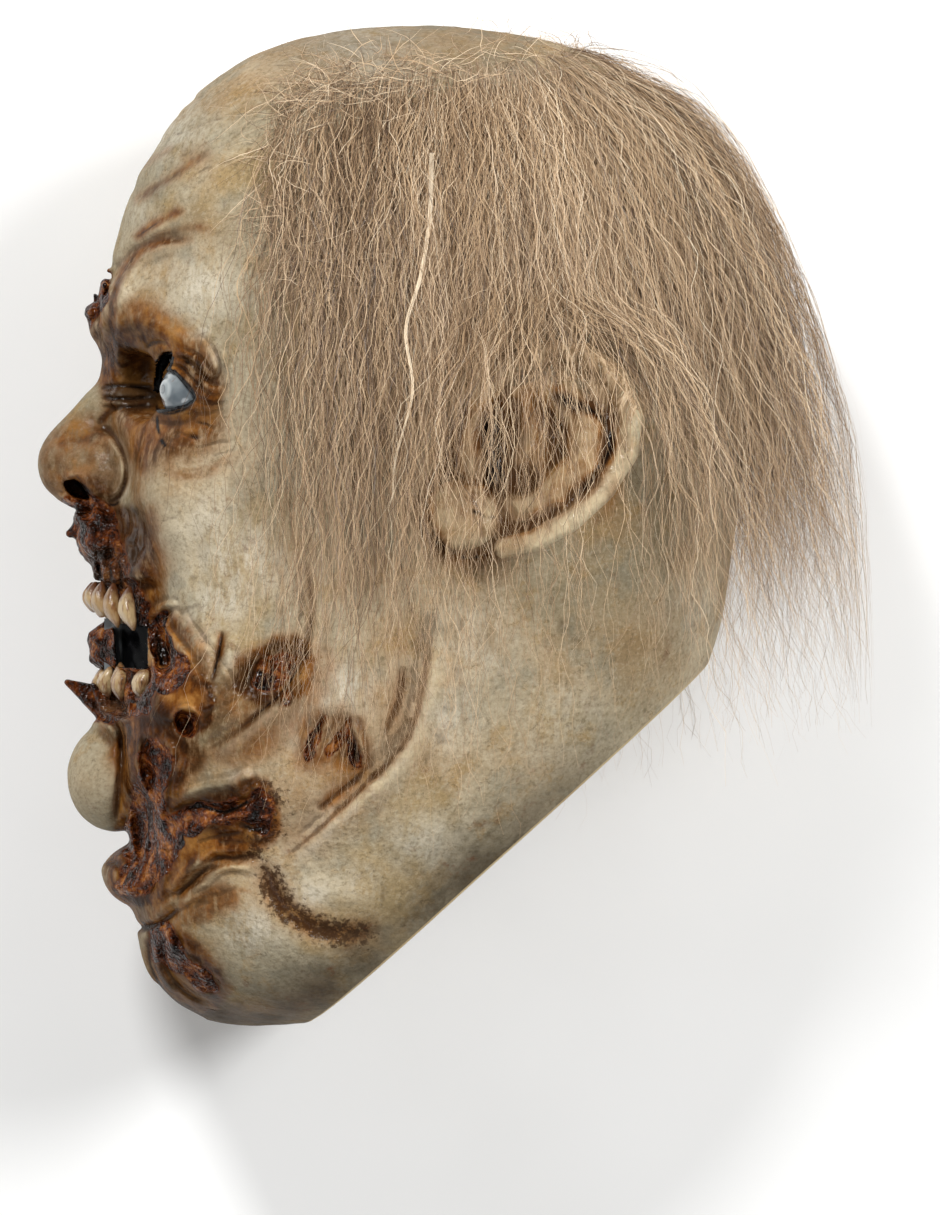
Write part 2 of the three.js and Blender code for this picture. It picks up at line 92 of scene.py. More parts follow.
# Hollows taken out of the head: place, radii, blend width and turn
HOLLOWS = [
    ((-106, 64, 44), (18, 12, 22), 7, 0),  # eye socket
    ((-132.5, 28.5, 9.5), (5.5, 3.6, 6), 1.5, -28),  # nostril
    ((-106, -30, 58), (14, 22, 16), 10, 0),  # hollow of the cheek
]
# Where the latex is thicker inside, in the same order
THICKER = [
    ((-104, 66, 42), (27, 24, 38), 8, 0),  # behind the eyes
    ((-112, -33, 0), (18, 22, 56), 6, 0),  # behind the mouth
    ((-86.5, 61, 63), (15, 15, 15), 6, 0),  # round the eyeballs
]
EYEBALL = (-86.7, 61.1, 65)
EYE_RADIUS = 11.5
# Creases that the inside follows: path and depth
DEEP_CREASES = [
    ([(2, -22), (-5, -46), (-17, -78), (-31, -92), (-45, -104), (-62, -114)], 5),
    ([(-46, 0), (-45, -30), (-46, -41), (-61, -60), (-74, -72)], 4.2),
    ([(-92, -92), (-80, -99), (-62, -103)], 4.5),
    ([(-108, -69), (-103, -88), (-101, -110)], 4),
    ([(-73, -24), (-75, -36), (-79, -50)], 3.5),
    ([(-118, 104), (-113, 112), (-104, 119), (-92, 121)], 3.2),
    ([(-110, 138), (-98, 147), (-82, 153)], 2.8),
]
EAR_FOOT = (18, 38)
EAR_LIFT = 0.42  # how steeply it stands off the head
EAR_TURN = 48  # degrees that it leans back
EAR_RIM = [
    (16, 44), (19, 57), (28, 68), (42, 73.5), (56, 72), (67, 63), (72, 50), (70, 37), (62, 24),
    (50, 13), (38, 6), (27, 3),
]
# Where hair is glued to the head, in the photograph
HAIR_ROOTS = [
    (278, 104), (300, 88), (340, 80), (400, 68), (460, 62), (520, 56), (580, 46), (650, 40), (800, 60),
    (900, 200), (900, 450), (740, 440), (690, 420), (640, 360), (560, 320), (420, 300), (310, 280),
    (274, 220), (270, 160),
]
# How far down the hair's ends come, across the photograph
HAIR_ENDS = [
    (230, 530), (260, 600), (300, 670), (340, 710), (400, 670), (480, 700), (560, 680), (650, 620),
    (720, 590), (780, 660), (860, 700), (940, 640),
]
# The outline of the hair at the back: height, and how far back it reaches there
BACK_OUTLINE = [
    (-60, 152), (20, 150), (57, 146), (74, 140), (96, 133), (122, 123), (151, 109), (179, 90), (200, 62),
]


# Small tools


def smoothstep(x, low, high):
    share = np.clip((x - low) / (high - low), 0, 1)
    return share * share * (3 - 2 * share)


def smooth_least(a, b, blend):
    overlap = np.maximum(blend - np.abs(a - b), 0) / blend
    return np.minimum(a, b) - overlap * overlap * (blend / 4)


def smooth_most(a, b, blend):
    return -smooth_least(-a, -b, blend)


def catmull(points, closed=False, samples=12):
    """Points along a centripetal Catmull-Rom curve through points of any dimension."""
    given = np.asarray(points, float)
    count = len(given)
    made = []
    for i in range(count if closed else count - 1):
        if closed:
            p0, p1, p2, p3 = (given[(i + k) % count] for k in (-1, 0, 1, 2))
        else:
            p1, p2 = given[i], given[i + 1]
            p0 = given[i - 1] if i > 0 else 2 * p1 - p2
            p3 = given[i + 2] if i + 2 < count else 2 * p2 - p1
        d0, d1, d2 = (max(np.linalg.norm(b - a) ** 0.5, 1e-4) for a, b in ((p0, p1), (p1, p2), (p2, p3)))
        t1 = ((p1 - p0) / d0 - (p2 - p0) / (d0 + d1) + (p2 - p1) / d1) * d1
        t2 = ((p2 - p1) / d1 - (p3 - p1) / (d1 + d2) + (p3 - p2) / d2) * d1
        t = np.linspace(0, 1, samples, endpoint=False)[:, None]
        made.append(
            p1 + t1 * t + (-3 * p1 + 3 * p2 - 2 * t1 - t2) * t**2 + (2 * p1 - 2 * p2 + t1 + t2) * t**3
        )
    if not closed:
        made.append(given[-1:])
    return np.vstack(made)


LATTICE_SIZE = 64
LATTICES = {}


def noise3(x, y, z, scale, seed):
    """Smooth noise from -1 to 1, with bumps about scale wide."""
    if seed not in LATTICES:
        random = np.random.default_rng(seed)
        LATTICES[seed] = random.random(LATTICE_SIZE**3, dtype=np.float32) * 2 - 1
    table = LATTICES[seed]
    last = LATTICE_SIZE - 1
    corner = []
    blend = []
    for value in (x, y, z):
        place = np.asarray(value, np.float32) / scale + 1000.0
        whole = np.floor(place)
        part = place - whole
        corner.append(whole.astype(np.int64))
        blend.append(part * part * (3 - 2 * part))
    i, j, k = corner
    total = 0
    for a in (0, 1):
        for b in (0, 1):
            for c in (0, 1):
                at = ((i + a) & last) * LATTICE_SIZE**2 + ((j + b) & last) * LATTICE_SIZE + ((k + c) & last)
                weight = (
                    (blend[0] if a else 1 - blend[0])
                    * (blend[1] if b else 1 - blend[1])
                    * (blend[2] if c else 1 - blend[2])
                )
                total = total + table[at] * weight
    return total


def fractal(x, y, z, scale, octaves, seed):
    """Noise of several sizes at once, each half as wide and half as strong as the one before."""
    total = 0
    strength = 1.0
    for octave in range(octaves):
        total = total + strength * noise3(x, y, z, scale / 2**octave, seed + octave)
        strength *= 0.5
    return total / (2 - 0.5 ** (octaves - 1))


# The head as a distance field


OUTLINE_STEPS = 2880
OUTLINE_SOFTNESS = 26  # steps


def polar_outline(points):
    """How far a closed outline is from the head's middle at an angle, with its bends evened out."""
    curve = catmull(points, closed=True, samples=25)
    angle = np.arctan2(curve[:, 1] - CENTRE_Y, curve[:, 0])
    reach = np.hypot(curve[:, 0], curve[:, 1] - CENTRE_Y)
    order = np.argsort(angle)
    angle, reach = angle[order], reach[order]
    even = np.linspace(-math.pi, math.pi, OUTLINE_STEPS + 1)
    table = np.interp(even, angle, reach, period=2 * math.pi)
    spread = np.exp(-0.5 * (np.arange(-72, 73) / OUTLINE_SOFTNESS) ** 2)
    wrapped = np.concatenate([table[-73:-1], table, table[1:73]])
    table = np.convolve(wrapped, spread / spread.sum(), "valid").astype(np.float32)

    def outline(at):
        place = (at + math.pi) * (OUTLINE_STEPS / (2 * math.pi))
        low = np.clip(place.astype(np.int32), 0, OUTLINE_STEPS - 1)
        part = place - low
        return table[low] * (1 - part) + table[low + 1] * part

    return outline


head_outline = polar_outline(PROFILE)


def body_distance(x, y, side):
    """The head without its features. Like the other distances it is in millimetres, negative inside."""
    angle = np.arctan2(y - CENTRE_Y, x)
    flat = np.hypot(x, y - CENTRE_Y)
    whole = np.hypot(flat, side)
    along = np.cos(angle) ** 2
    n = along * np.where(x < 0, ROUNDNESS["front"], ROUNDNESS["back"])
    n += (1 - along) * np.where(angle > 0, ROUNDNESS["top"], ROUNDNESS["under"])
    share = ((flat / head_outline(angle)) ** n + (np.abs(side) / HALF_WIDTH) ** n) ** (1 / n)
    return whole * (1 - 1 / np.maximum(share, 1e-6))


def mass_distance(x, y, side, at, radii, turn=0):
    """An ellipsoid turned in the XY plane."""
    angle = math.radians(turn)
    dx, dy = x - at[0], y - at[1]
    u = (dx * math.cos(angle) + dy * math.sin(angle)) / radii[0]
    v = (dy * math.cos(angle) - dx * math.sin(angle)) / radii[1]
    w = (side - at[2]) / radii[2]
    size = np.sqrt(u * u + v * v + w * w)
    slope = np.sqrt((u / radii[0]) ** 2 + (v / radii[1]) ** 2 + (w / radii[2]) ** 2)
    return size * (size - 1) / np.maximum(slope, 1e-6)


def near(x, y, side, at, radii, extra):
    """Which points may be changed by a mass."""
    reach = max(radii[0], radii[1]) + extra
    return (
        (np.abs(x - at[0]) < reach) & (np.abs(y - at[1]) < reach) & (np.abs(side - at[2]) < radii[2] + extra)
    )


def tube_distance(x, y, z, points, radii):
    """Distance outside a chain of tapered round pieces."""
    least = np.full(x.shape, 1e3, np.float32)
    for (a, ra), (b, rb) in zip(zip(points, radii), zip(points[1:], radii[1:])):
        ab = np.subtract(b, a)
        share = ((x - a[0]) * ab[0] + (y - a[1]) * ab[1] + (z - a[2]) * ab[2]) / max(float(ab @ ab), 1e-9)
        share = np.clip(share, 0, 1)
        dx, dy, dz = x - a[0] - share * ab[0], y - a[1] - share * ab[1], z - a[2] - share * ab[2]
        away = np.sqrt(dx**2 + dy**2 + dz**2)
        np.minimum(least, away - (ra + (rb - ra) * share), out=least)
    return least


SEAM = 14  # millimetres round a mass in which it may still change the surface


def head_distance(x, y, side, with_filled=True):
    distance = body_distance(x, y, side)
    for at, radii, blend, turn, filled in MASSES:
        if filled and not with_filled:
            continue
        spots = near(x, y, side, at, radii, SEAM + blend)
        distance[spots] = smooth_least(
            distance[spots], mass_distance(x[spots], y[spots], side[spots], at, radii, turn), blend
        )
    for at, radii, blend, turn in HOLLOWS:
        spots = near(x, y, side, at, radii, SEAM + blend)
        distance[spots] = smooth_most(
            distance[spots], -mass_distance(x[spots], y[spots], side[spots], at, radii, turn), blend
        )
    return distance


def side_height(x, y):
    """How high the left side of the head is at a place."""
    low, high = MID, MID + 140
    for _ in range(20):
        middle = (low + high) / 2
        one = np.array([middle - MID], np.float32)
        if head_distance(np.array([x], np.float32), np.array([y], np.float32), one)[0] > 0:
            high = middle
        else:
            low = middle
    return low


# Drawing relief and paint in the photograph's pixels

SHEETS = {}
SHEET_SIZE = (PHOTO[1] + 40, PHOTO[0] + 60)
ROWS, COLUMNS = np.mgrid[0 : SHEET_SIZE[0], 0 : SHEET_SIZE[1]].astype(np.float32)


def sheet(name):
    """A drawing by its name, which is empty at first."""
    if name not in SHEETS:
        SHEETS[name] = np.zeros(ROWS.shape, np.float32)
    return SHEETS[name]


def window(points, margin):
    """The part of a sheet round some points."""
    low = np.maximum(np.floor(points.min(0) - margin), 0).astype(int)
    high = np.ceil(points.max(0) + margin).astype(int)
    high = np.minimum(high, [ROWS.shape[1], ROWS.shape[0]])
    return slice(low[1], high[1]), slice(low[0], high[0])


def route_distance(points, margin):
    """The window round a line, with the distance to the line, its sign, and how far along it is."""
    points = np.asarray(points, float)
    area = window(points, margin)
    x, y = COLUMNS[area], ROWS[area]
    best = np.full(x.shape, 1e6, np.float32)
    sign = np.ones(x.shape, np.float32)
    along = np.zeros(x.shape, np.float32)
    lengths = np.hypot(*np.diff(points, axis=0).T)
    total = max(lengths.sum(), 1e-6)
    done = 0.0
    for (ax, ay), (bx, by), length in zip(points, points[1:], lengths):
        vx, vy = bx - ax, by - ay
        share = np.clip(((x - ax) * vx + (y - ay) * vy) / max(length**2, 1e-9), 0, 1)
        away = np.hypot(x - ax - share * vx, y - ay - share * vy)
        closer = away < best
        best = np.where(closer, away, best)
        sign = np.where(closer, np.sign(vx * (y - ay) - vy * (x - ax)), sign)
        along = np.where(closer, (done + share * length) / total, along)
        done += length
    return area, best, sign, along


def ends(along, fade):
    """How strong a line is along its length, when a share of it fades at both ends."""
    return np.clip(np.minimum(along, 1 - along) / fade, 0, 1) ** 0.6 if fade else 1.0


def put(name, area, value, how):
    """Adds to a sheet with "add", and with "most" keeps the larger of the old value and the new one."""
    target = sheet(name)
    if how == "add":
        target[area] += value
    else:
        target[area] = np.maximum(target[area], value)


def stroke(name, points, width, amount, fade=0.15, how="add", wobble=0.0):
    """A soft round-sectioned line."""
    route = catmull(points, samples=5)
    area, away, _, along = route_distance(route, 3 * width + 2 + 2 * wobble)
    if wobble:
        away = away + wobble * fractal(COLUMNS[area], ROWS[area], 0 * away, 5 + width, 2, 31)
    put(name, area, amount * np.exp(-((away / width) ** 2)) * ends(along, fade), how)


def fold(name, points, width, amount, fade=0.2):
    """One side of the line stands up and the other sinks: positive amounts raise the side on the right
    hand of its direction in the picture."""
    area, away, sign, along = route_distance(catmull(points, samples=5), 4 * width + 2)
    step = away * sign / width
    put(name, area, amount * 2.33 * step * np.exp(-(step**2)) * ends(along, fade), "add")


def inside_outline(x, y, outline):
    """Which points lie within a closed outline."""
    inside = np.zeros(x.shape, bool)
    for (ax, ay), (bx, by) in zip(outline, np.roll(outline, -1, axis=0)):
        crosses = (ay > y) != (by > y)
        slope = (bx - ax) / (by - ay) if by != ay else 0.0
        inside ^= crosses & (x < ax + (y - ay) * slope)
    return inside


def patch(name, points, amount, soft=6, ragged=0.0, grain=9, how="most", seed=40):
    """A filled area with a soft edge, which noise may make ragged."""
    outline = catmull(points, closed=True, samples=6)
    area, away, _, _ = route_distance(np.vstack([outline, outline[:1]]), soft + 2 * ragged + 3)
    x, y = COLUMNS[area], ROWS[area]
    signed = np.where(inside_outline(x, y, outline), away, -away)
    if ragged:
        signed = signed + ragged * fractal(x, y, 0 * x, grain, 3, seed)
    put(name, area, amount * smoothstep(signed, -soft, soft), how)


def photo_place(x, y, z):
    """Where the camera sees a point of the left side, in the photograph's pixels. The right side uses
    the mirror image."""
    closer = VIEW_PIXEL * (1 - np.abs(z - MID) / CAMERA_HEIGHT)
    across = PHOTO[0] / 2 + (x - VIEW_CENTRE[0]) / closer
    down = PHOTO[1] / 2 - (y - VIEW_CENTRE[1]) / closer
    return across, down


def drawn(name, across, down):
    """A sheet's value at places in the photograph."""
    target = sheet(name)
    across = np.clip(across, 0, target.shape[1] - 2.001)
    down = np.clip(down, 0, target.shape[0] - 2.001)
    i, j = down.astype(np.int32), across.astype(np.int32)
    u, v = down - i, across - j
    return (
        target[i, j] * (1 - u) * (1 - v)
        + target[i + 1, j] * u * (1 - v)
        + target[i, j + 1] * (1 - u) * v
        + target[i + 1, j + 1] * u * v
    )


def soften(name, rounds):
    """Takes the harshest edges off a sheet."""
    target = sheet(name)
    for _ in range(rounds):
        for axis in (0, 1):
            target[:] = 0.5 * target + 0.25 * (np.roll(target, 1, axis) + np.roll(target, -1, axis))


# Wounds: the flesh that shows, wet and dark
GORE = {
    "gore": [
        # between the brows
        [(92, 268), (104, 262), (112, 272), (108, 296), (98, 318), (88, 334), (80, 310), (84, 286)],
        # upper lip
        [(58, 526), (70, 502), (92, 500), (106, 508), (116, 516), (122, 536), (126, 556), (127, 576),
         (112, 590), (96, 590), (80, 584), (80, 560), (72, 546), (60, 536)],
        # under the nostril
        [(64, 498), (78, 494), (96, 494), (104, 506), (90, 512), (72, 512)],
        # round the teeth and the lower lip
        [(78, 608), (100, 612), (114, 622), (117, 640), (117, 664), (100, 668), (78, 660)],
        [(120, 584), (131, 576), (140, 590), (150, 612), (148, 628), (134, 624), (126, 628), (122, 606)],
        [(96, 664), (118, 664), (146, 666), (155, 676), (155, 698), (140, 704), (118, 704), (104, 694)],
        [(56, 684), (68, 662), (88, 660), (100, 684), (112, 698), (140, 694), (152, 700), (150, 712),
         (124, 718), (108, 722), (90, 718), (76, 706), (64, 694)],
        # chin
        [(150, 930), (166, 924), (178, 938), (186, 958), (212, 976), (218, 990), (200, 990), (186, 976),
         (168, 966), (154, 958)],
    ],
    "gore_left": [
        [(153, 620), (166, 613), (170, 640), (186, 660), (191, 672), (176, 686), (158, 692), (153, 664)],
        [(176, 714), (186, 711), (196, 718), (197, 730), (188, 736), (178, 730)],
        [(254, 680), (262, 662), (284, 654), (294, 664), (284, 686), (264, 692)],
        [(284, 690), (290, 692), (289, 704), (284, 704)],
        [(143, 744), (156, 740), (172, 750), (170, 774), (164, 800), (170, 818), (184, 836), (176, 860),
         (160, 880), (148, 894), (124, 894), (114, 888), (126, 860), (126, 834), (132, 800), (140, 770)],
        [(170, 822), (185, 807), (222, 804), (246, 797), (260, 788), (269, 796), (272, 816), (266, 832),
         (256, 830), (240, 820), (206, 827), (184, 838)],
        [(306, 760), (308, 738), (318, 720), (326, 716), (320, 736), (312, 756)],
        [(324, 756), (336, 736), (350, 718), (342, 740), (330, 758)],
        [(348, 724), (356, 740), (360, 766), (352, 764), (346, 744)],
    ],
}
# Long creases, folds and slits that are both modelled and painted
JAW_CREASE = [(437, 612), (430, 648), (422, 690), (412, 728), (390, 762), (354, 796), (316, 832),
              (280, 862)]
CHEEK_CREASE = [(306, 560), (311, 600), (308, 640), (298, 668), (284, 690), (262, 710), (236, 732),
                (206, 752)]
STAIN_ARC = [(264, 856), (270, 882), (286, 910), (316, 928), (350, 934), (384, 930)]
FOREHEAD_FOLD = [(128, 176), (150, 160), (176, 146)]
BROW_FOLD = [(110, 330), (112, 306), (118, 282), (128, 264), (144, 249), (166, 241), (196, 240)]
NOSE_WING = [(100, 428), (112, 436), (121, 450), (126, 466), (125, 482), (119, 495), (106, 503)]
LID_LINES = [
    [(170, 364), (182, 368), (195, 381), (208, 393)],
    [(176, 356), (188, 361), (200, 373), (212, 383), (222, 384)],
]
CHEEK_SLIT = [(223, 630), (219, 653), (212, 682)]
CHEEK_FOLDS = [[(403, 664), (398, 700), (384, 736)], [(362, 776), (340, 792), (316, 810)]]
UNDER_LIP = [(140, 930), (180, 900), (230, 880), (280, 890)]
CHIN_SLITS = [
    [(148, 930), (151, 966), (172, 1000), (206, 1020)],
    [(176, 930), (186, 952), (206, 970), (222, 988)],
]
GASH = [(172, 812), (196, 804), (222, 811), (244, 802), (262, 790)]
# The ear's outline
EAR_AREA = [(432, 462), (448, 520), (500, 552), (556, 526), (604, 470), (606, 424), (578, 392), (530, 382),
             (484, 400), (446, 430)]


def wrinkles(name, path, offsets, width, depth, pieces, seed):
    """Fine broken lines beside a path, at offsets in pixels. Relief is added up and paint isn't."""
    random = np.random.default_rng(seed)
    line = catmull(path, samples=6)
    side = np.gradient(line, axis=0)[:, ::-1] * (1, -1)
    side /= np.maximum(np.linalg.norm(side, axis=1), 1e-6)[:, None]
    for _ in range(pieces):
        length = int(random.integers(5, 14))
        start = int(random.integers(0, max(1, len(line) - length)))
        offset = random.uniform(*offsets)
        points = line[start : start + length] + side[start : start + length] * offset
        points = points + random.normal(0, 0.9, points.shape)
        stroke(name, points, width * random.uniform(0.7, 1.4), depth * random.uniform(0.4, 1.0), fade=0.3,
               how="add" if abs(depth) > 1 or depth < 0 else "most")


# The modelled folds, in millimetres: one sheet is for both sides, the other for the left one alone
BOTH, LEFT = "relief", "relief_left"


def forehead_relief():
    crease = [(134, 200), (150, 191), (168, 180), (190, 165), (210, 152)]
    fold(BOTH, crease, 8, 0.8)
    stroke(BOTH, crease, 2.4, -0.7, wobble=1)
    fold(BOTH, [(132, 240), (146, 230), (160, 221), (184, 210)], 8, 0.8)
    stroke(BOTH, [(134, 239), (146, 230), (162, 220)], 1.8, -1.2)
    fold(BOTH, FOREHEAD_FOLD, 9, 0.6)
    fold(BOTH, BROW_FOLD, 8, 1.8, fade=0.3)
    stroke(BOTH, BROW_FOLD, 2.6, -0.9, fade=0.3, wobble=1)
    stroke(BOTH, [(140, 284), (190, 292)], 26, 1.6, fade=0)
    stroke(BOTH, [(116, 262), (138, 236), (170, 226)], 7, 0.9)
    # upright folds between the brow and the nose
    for points, width, depth in [
        ([(106, 262), (102, 300), (102, 340), (104, 386)], 3.4, 1.2),
        ([(115, 306), (112, 336), (113, 362), (118, 384)], 3.0, -1.1),
        ([(99, 290), (98, 320), (99, 346)], 2.4, -0.6),
        ([(120, 312), (115, 338), (118, 362)], 4.0, 0.9),
    ]:
        stroke(BOTH, points, width, depth)


def eye_relief():
    # hood of the eye
    hood = [(116, 330), (134, 322), (156, 328), (180, 340), (200, 354), (214, 372)]
    stroke(BOTH, hood, 9, 1.7)
    stroke(BOTH, [(124, 366), (138, 360), (152, 366)], 10, -0.8)
    stroke(BOTH, [(146, 348), (152, 344), (160, 342), (168, 345)], 2.6, -1.4)
    # the lids' rolls and the lines between them
    for points, width, high in [
        ([(166, 367), (176, 370), (190, 382), (201, 394), (214, 400)], 2.8, 1.6),
        ([(173, 358), (186, 365), (198, 379), (212, 389), (224, 388)], 3.0, 1.9),
        ([(176, 352), (190, 356), (202, 366), (211, 376)], 2.8, 1.7),
        ([(198, 338), (211, 354), (214, 370), (206, 378)], 3.4, 1.6),
        ([(220, 350), (229, 370), (224, 385)], 3.4, 1.3),
        (LID_LINES[0], 1.3, -1.5),
        (LID_LINES[1], 1.4, -1.7),
        ([(184, 349), (198, 354), (208, 366), (212, 376)], 1.4, -1.5),
        ([(213, 346), (220, 362), (218, 376), (210, 382)], 1.6, -1.6),
        ([(196, 403), (210, 404), (226, 402)], 1.4, -1.2),
        ([(158, 412), (176, 414), (196, 406), (212, 408)], 3.0, 1.0),
        ([(150, 420), (176, 424), (200, 416)], 2.4, -0.9),
        ([(192, 422), (204, 423), (214, 428)], 1.6, -1.0),
        ([(188, 436), (200, 439)], 1.8, -0.9),
        ([(158, 440), (190, 450), (220, 436)], 9, 0.8),
    ]:
        stroke(BOTH, points, width, high)


def nose_relief():
    # folds at the root of the nose
    for y, bend, depth in [(388, -2, -1.7), (393, 1, 1.4), (397, 2, -1.5), (401, 2, 1.2), (405, 2, -1.2)]:
        stroke(BOTH, [(101, y + 1), (118, y + bend), (136, y + bend), (153, y)], 1.8, depth)
    stroke(BOTH, [(98, 424), (108, 413), (122, 408)], 2.4, -1.3)
    # nose: its wing, the nostril's edge and small dents
    stroke(BOTH, NOSE_WING, 2.4, -1.5, fade=0.3)
    fold(BOTH, NOSE_WING, 6, 1.1, fade=0.3)
    stroke(BOTH, [(64, 478), (76, 474), (88, 484), (95, 498)], 2.6, 1.3)
    patch(BOTH, [(67, 484), (76, 479), (85, 488), (90, 497), (80, 499), (71, 494)], -2.4, 3.0, how="add")
    stroke(BOTH, [(56, 494), (70, 501), (86, 504)], 3.0, 1.6, fade=0.2)
    for x, y, high in [
        (60, 450, 0.8), (78, 442, -0.7), (98, 452, 0.7), (86, 462, -0.6), (104, 474, 0.6), (52, 470, -0.5),
    ]:
        stroke(BOTH, [(x - 2, y), (x + 2, y)], 7, high, fade=0)
    # cheek beside the nose and the mouth
    stroke(BOTH, [(138, 500), (150, 540), (158, 590), (156, 612)], 8, -1.5)
    stroke(BOTH, [(170, 520), (182, 570), (190, 606)], 15, 1.6)


def mouth_relief():
    # lumps of the upper lip and its runs down over the gum
    for x, y, size, high in [
        (78, 518, 6, 2.2), (90, 530, 5, 2.2), (98, 514, 6, 2.0), (110, 526, 6, 2.0), (100, 544, 5, 1.8),
        (114, 544, 5, 1.6), (84, 542, 4, 1.6), (122, 560, 4, 1.2), (92, 552, 3.5, 1.2),
    ]:
        stroke(BOTH, [(x - 1, y), (x + 1, y + 1)], size, high, fade=0)
    for points, depth in [
        ([(82, 528), (96, 536), (112, 534)], -1.6), ([(88, 508), (98, 524), (94, 546)], -1.4),
        ([(106, 514), (112, 538), (108, 560)], -1.4), ([(94, 560), (96, 590)], 1.3),
        ([(103, 556), (105, 592)], 1.5), ([(112, 560), (115, 590)], 1.3), ([(123, 566), (125, 600)], 1.3),
        ([(99, 562), (100, 584)], -1.2), ([(108, 562), (110, 584)], -1.2), ([(118, 566), (120, 590)], -1.2),
    ]:
        stroke(BOTH, points, 2.0, depth)
    # the grey wrinkled patch beside it
    for points in [
        [(124, 506), (130, 520), (126, 536)], [(134, 508), (138, 526), (132, 548)],
        [(142, 520), (142, 544), (134, 566)], [(126, 540), (136, 548), (132, 564)],
    ]:
        stroke(BOTH, points, 2.2, -1.1, wobble=1)
    # flesh in front of the window, the lower gum and its folds
    for x, y, high in [
        (92, 622, 1.4), (104, 630, 1.3), (94, 640, 1.6), (108, 648, 1.4), (96, 656, 1.4), (86, 632, 1.2),
    ]:
        stroke(BOTH, [(x - 1, y), (x + 1, y)], 4.5, high, fade=0)
    for points, depth in [
        ([(102, 690), (108, 716)], 1.2), ([(114, 690), (118, 714)], 1.2), ([(128, 692), (130, 712)], 1.1),
        ([(143, 692), (144, 710)], 1.1), ([(98, 700), (112, 712), (132, 716)], -1.6),
        ([(104, 694), (118, 706), (140, 708)], -1.3), ([(100, 706), (114, 716), (130, 722)], 1.6),
    ]:
        stroke(BOTH, points, 2.3, depth)


def cheek_relief():
    # the wound: a tendon in front of it, a bulge behind it, and the hole
    stroke(LEFT, [(160, 626), (164, 650), (168, 672)], 7, -3.6, fade=0.2)
    stroke(LEFT, [(178, 602), (160, 607), (146, 622), (145, 640), (152, 658), (156, 682)], 3.0, 2.4, fade=0.1)
    stroke(LEFT, [(166, 614), (166, 632), (178, 646), (190, 662)], 5, 2.4, fade=0.1)
    stroke(LEFT, [(180, 616), (190, 634), (204, 656)], 10, 1.3)
    stroke(LEFT, CHEEK_SLIT, 2.0, -2.2)
    stroke(LEFT, [(232, 632), (228, 656), (222, 684)], 5, 1.3)
    stroke(LEFT, [(212, 634), (208, 656), (202, 674)], 5, 1.0)
    # the rounded patch, its hole, and the rough skin behind it
    patch(LEFT, [(150, 712), (158, 684), (172, 675), (188, 671), (204, 680), (212, 697), (205, 709),
                 (190, 712), (175, 719), (161, 721)], 2.0, 5, how="add")
    patch(LEFT, [(177, 714), (186, 711), (196, 718), (196, 730), (188, 736), (178, 730)],
          -4.2, 3.5, how="add")
    stroke(LEFT, [(173, 722), (178, 711), (188, 708), (199, 715), (201, 728)], 2.2, 1.8)
    for points in [
        [(205, 708), (220, 700), (238, 690)],
        [(202, 722), (220, 712), (246, 700)],
        [(200, 740), (218, 728), (238, 714)],
    ]:
        stroke(LEFT, points, 3.2, 0.8, wobble=2)
    # the ragged wound at the end of the cheek crease
    patch(LEFT, [(240, 690), (246, 664), (264, 648), (284, 642), (292, 656), (286, 676), (268, 690)],
          -1.4, 5, 4, how="add")
    patch(LEFT, [(252, 682), (256, 664), (268, 660), (272, 676), (262, 686)], -2.6, 4, how="add")
    for points in [
        [(246, 690), (254, 664), (262, 650)], [(264, 690), (272, 668), (280, 646)], [(282, 684), (288, 664)],
    ]:
        stroke(LEFT, points, 2.2, 1.5, wobble=1.5)
    patch(LEFT, [(283, 690), (290, 692), (290, 705), (283, 704)], -2.4, 2, how="add")
    for slit, side in [
        ([(324, 717), (314, 736), (307, 758)], -1), ([(350, 718), (338, 738), (326, 757)], 1),
        ([(348, 726), (355, 744), (358, 768)], 1),
    ]:
        stroke(LEFT, slit, 2.4, -2.8)
        for away, width, high in ((6, 3.4, 1.5), (-6, 3.4, 1.3)):
            stroke(LEFT, [(x + away, y + 1) for x, y in slit], width, high)


def crease_relief():
    # long creases of the cheek and the jaw
    stroke(LEFT, CHEEK_CREASE, 2.8, -2.0, fade=0.3, wobble=1.5)
    fold(LEFT, CHEEK_CREASE, 9, -0.9, fade=0.3)
    stroke(LEFT, [(x + 14, y + 10) for x, y in CHEEK_CREASE[2:]], 9, 0.7)
    fold(BOTH, JAW_CREASE, 14, -1.6, fade=0.4)
    stroke(BOTH, JAW_CREASE, 2.2, -1.6, fade=0.3, wobble=2.5)
    stroke(BOTH, [(x - 16, y - 10) for x, y in JAW_CREASE[1:]], 12, -0.7, fade=0.2)
    wrinkles(BOTH, JAW_CREASE[3:], (-24, 12), 2.4, -0.8, 6, 71)
    wrinkles(BOTH, CHEEK_CREASE, (-26, 16), 2.2, -0.8, 10, 73)
    wrinkles(BOTH, [(200, 850), (230, 850), (262, 852)], (-14, 14), 2.4, -1.0, 12, 75)
    wrinkles(BOTH, UNDER_LIP, (-16, 16), 2.2, -1.0, 9, 76)
    wrinkles(BOTH, [(150, 570), (160, 620), (200, 680), (230, 730)], (-30, 30), 2.2, -0.9, 10, 77)
    wrinkles(BOTH, [(150, 150), (200, 130), (260, 110)], (-50, 40), 2.4, -0.5, 16, 78)
    wrinkles(BOTH, [(160, 430), (200, 440), (240, 430)], (-20, 30), 1.8, -0.6, 16, 79)
    stroke(BOTH, CHEEK_FOLDS[0], 3.2, -1.5)
    stroke(BOTH, CHEEK_FOLDS[1], 3.2, -1.6)


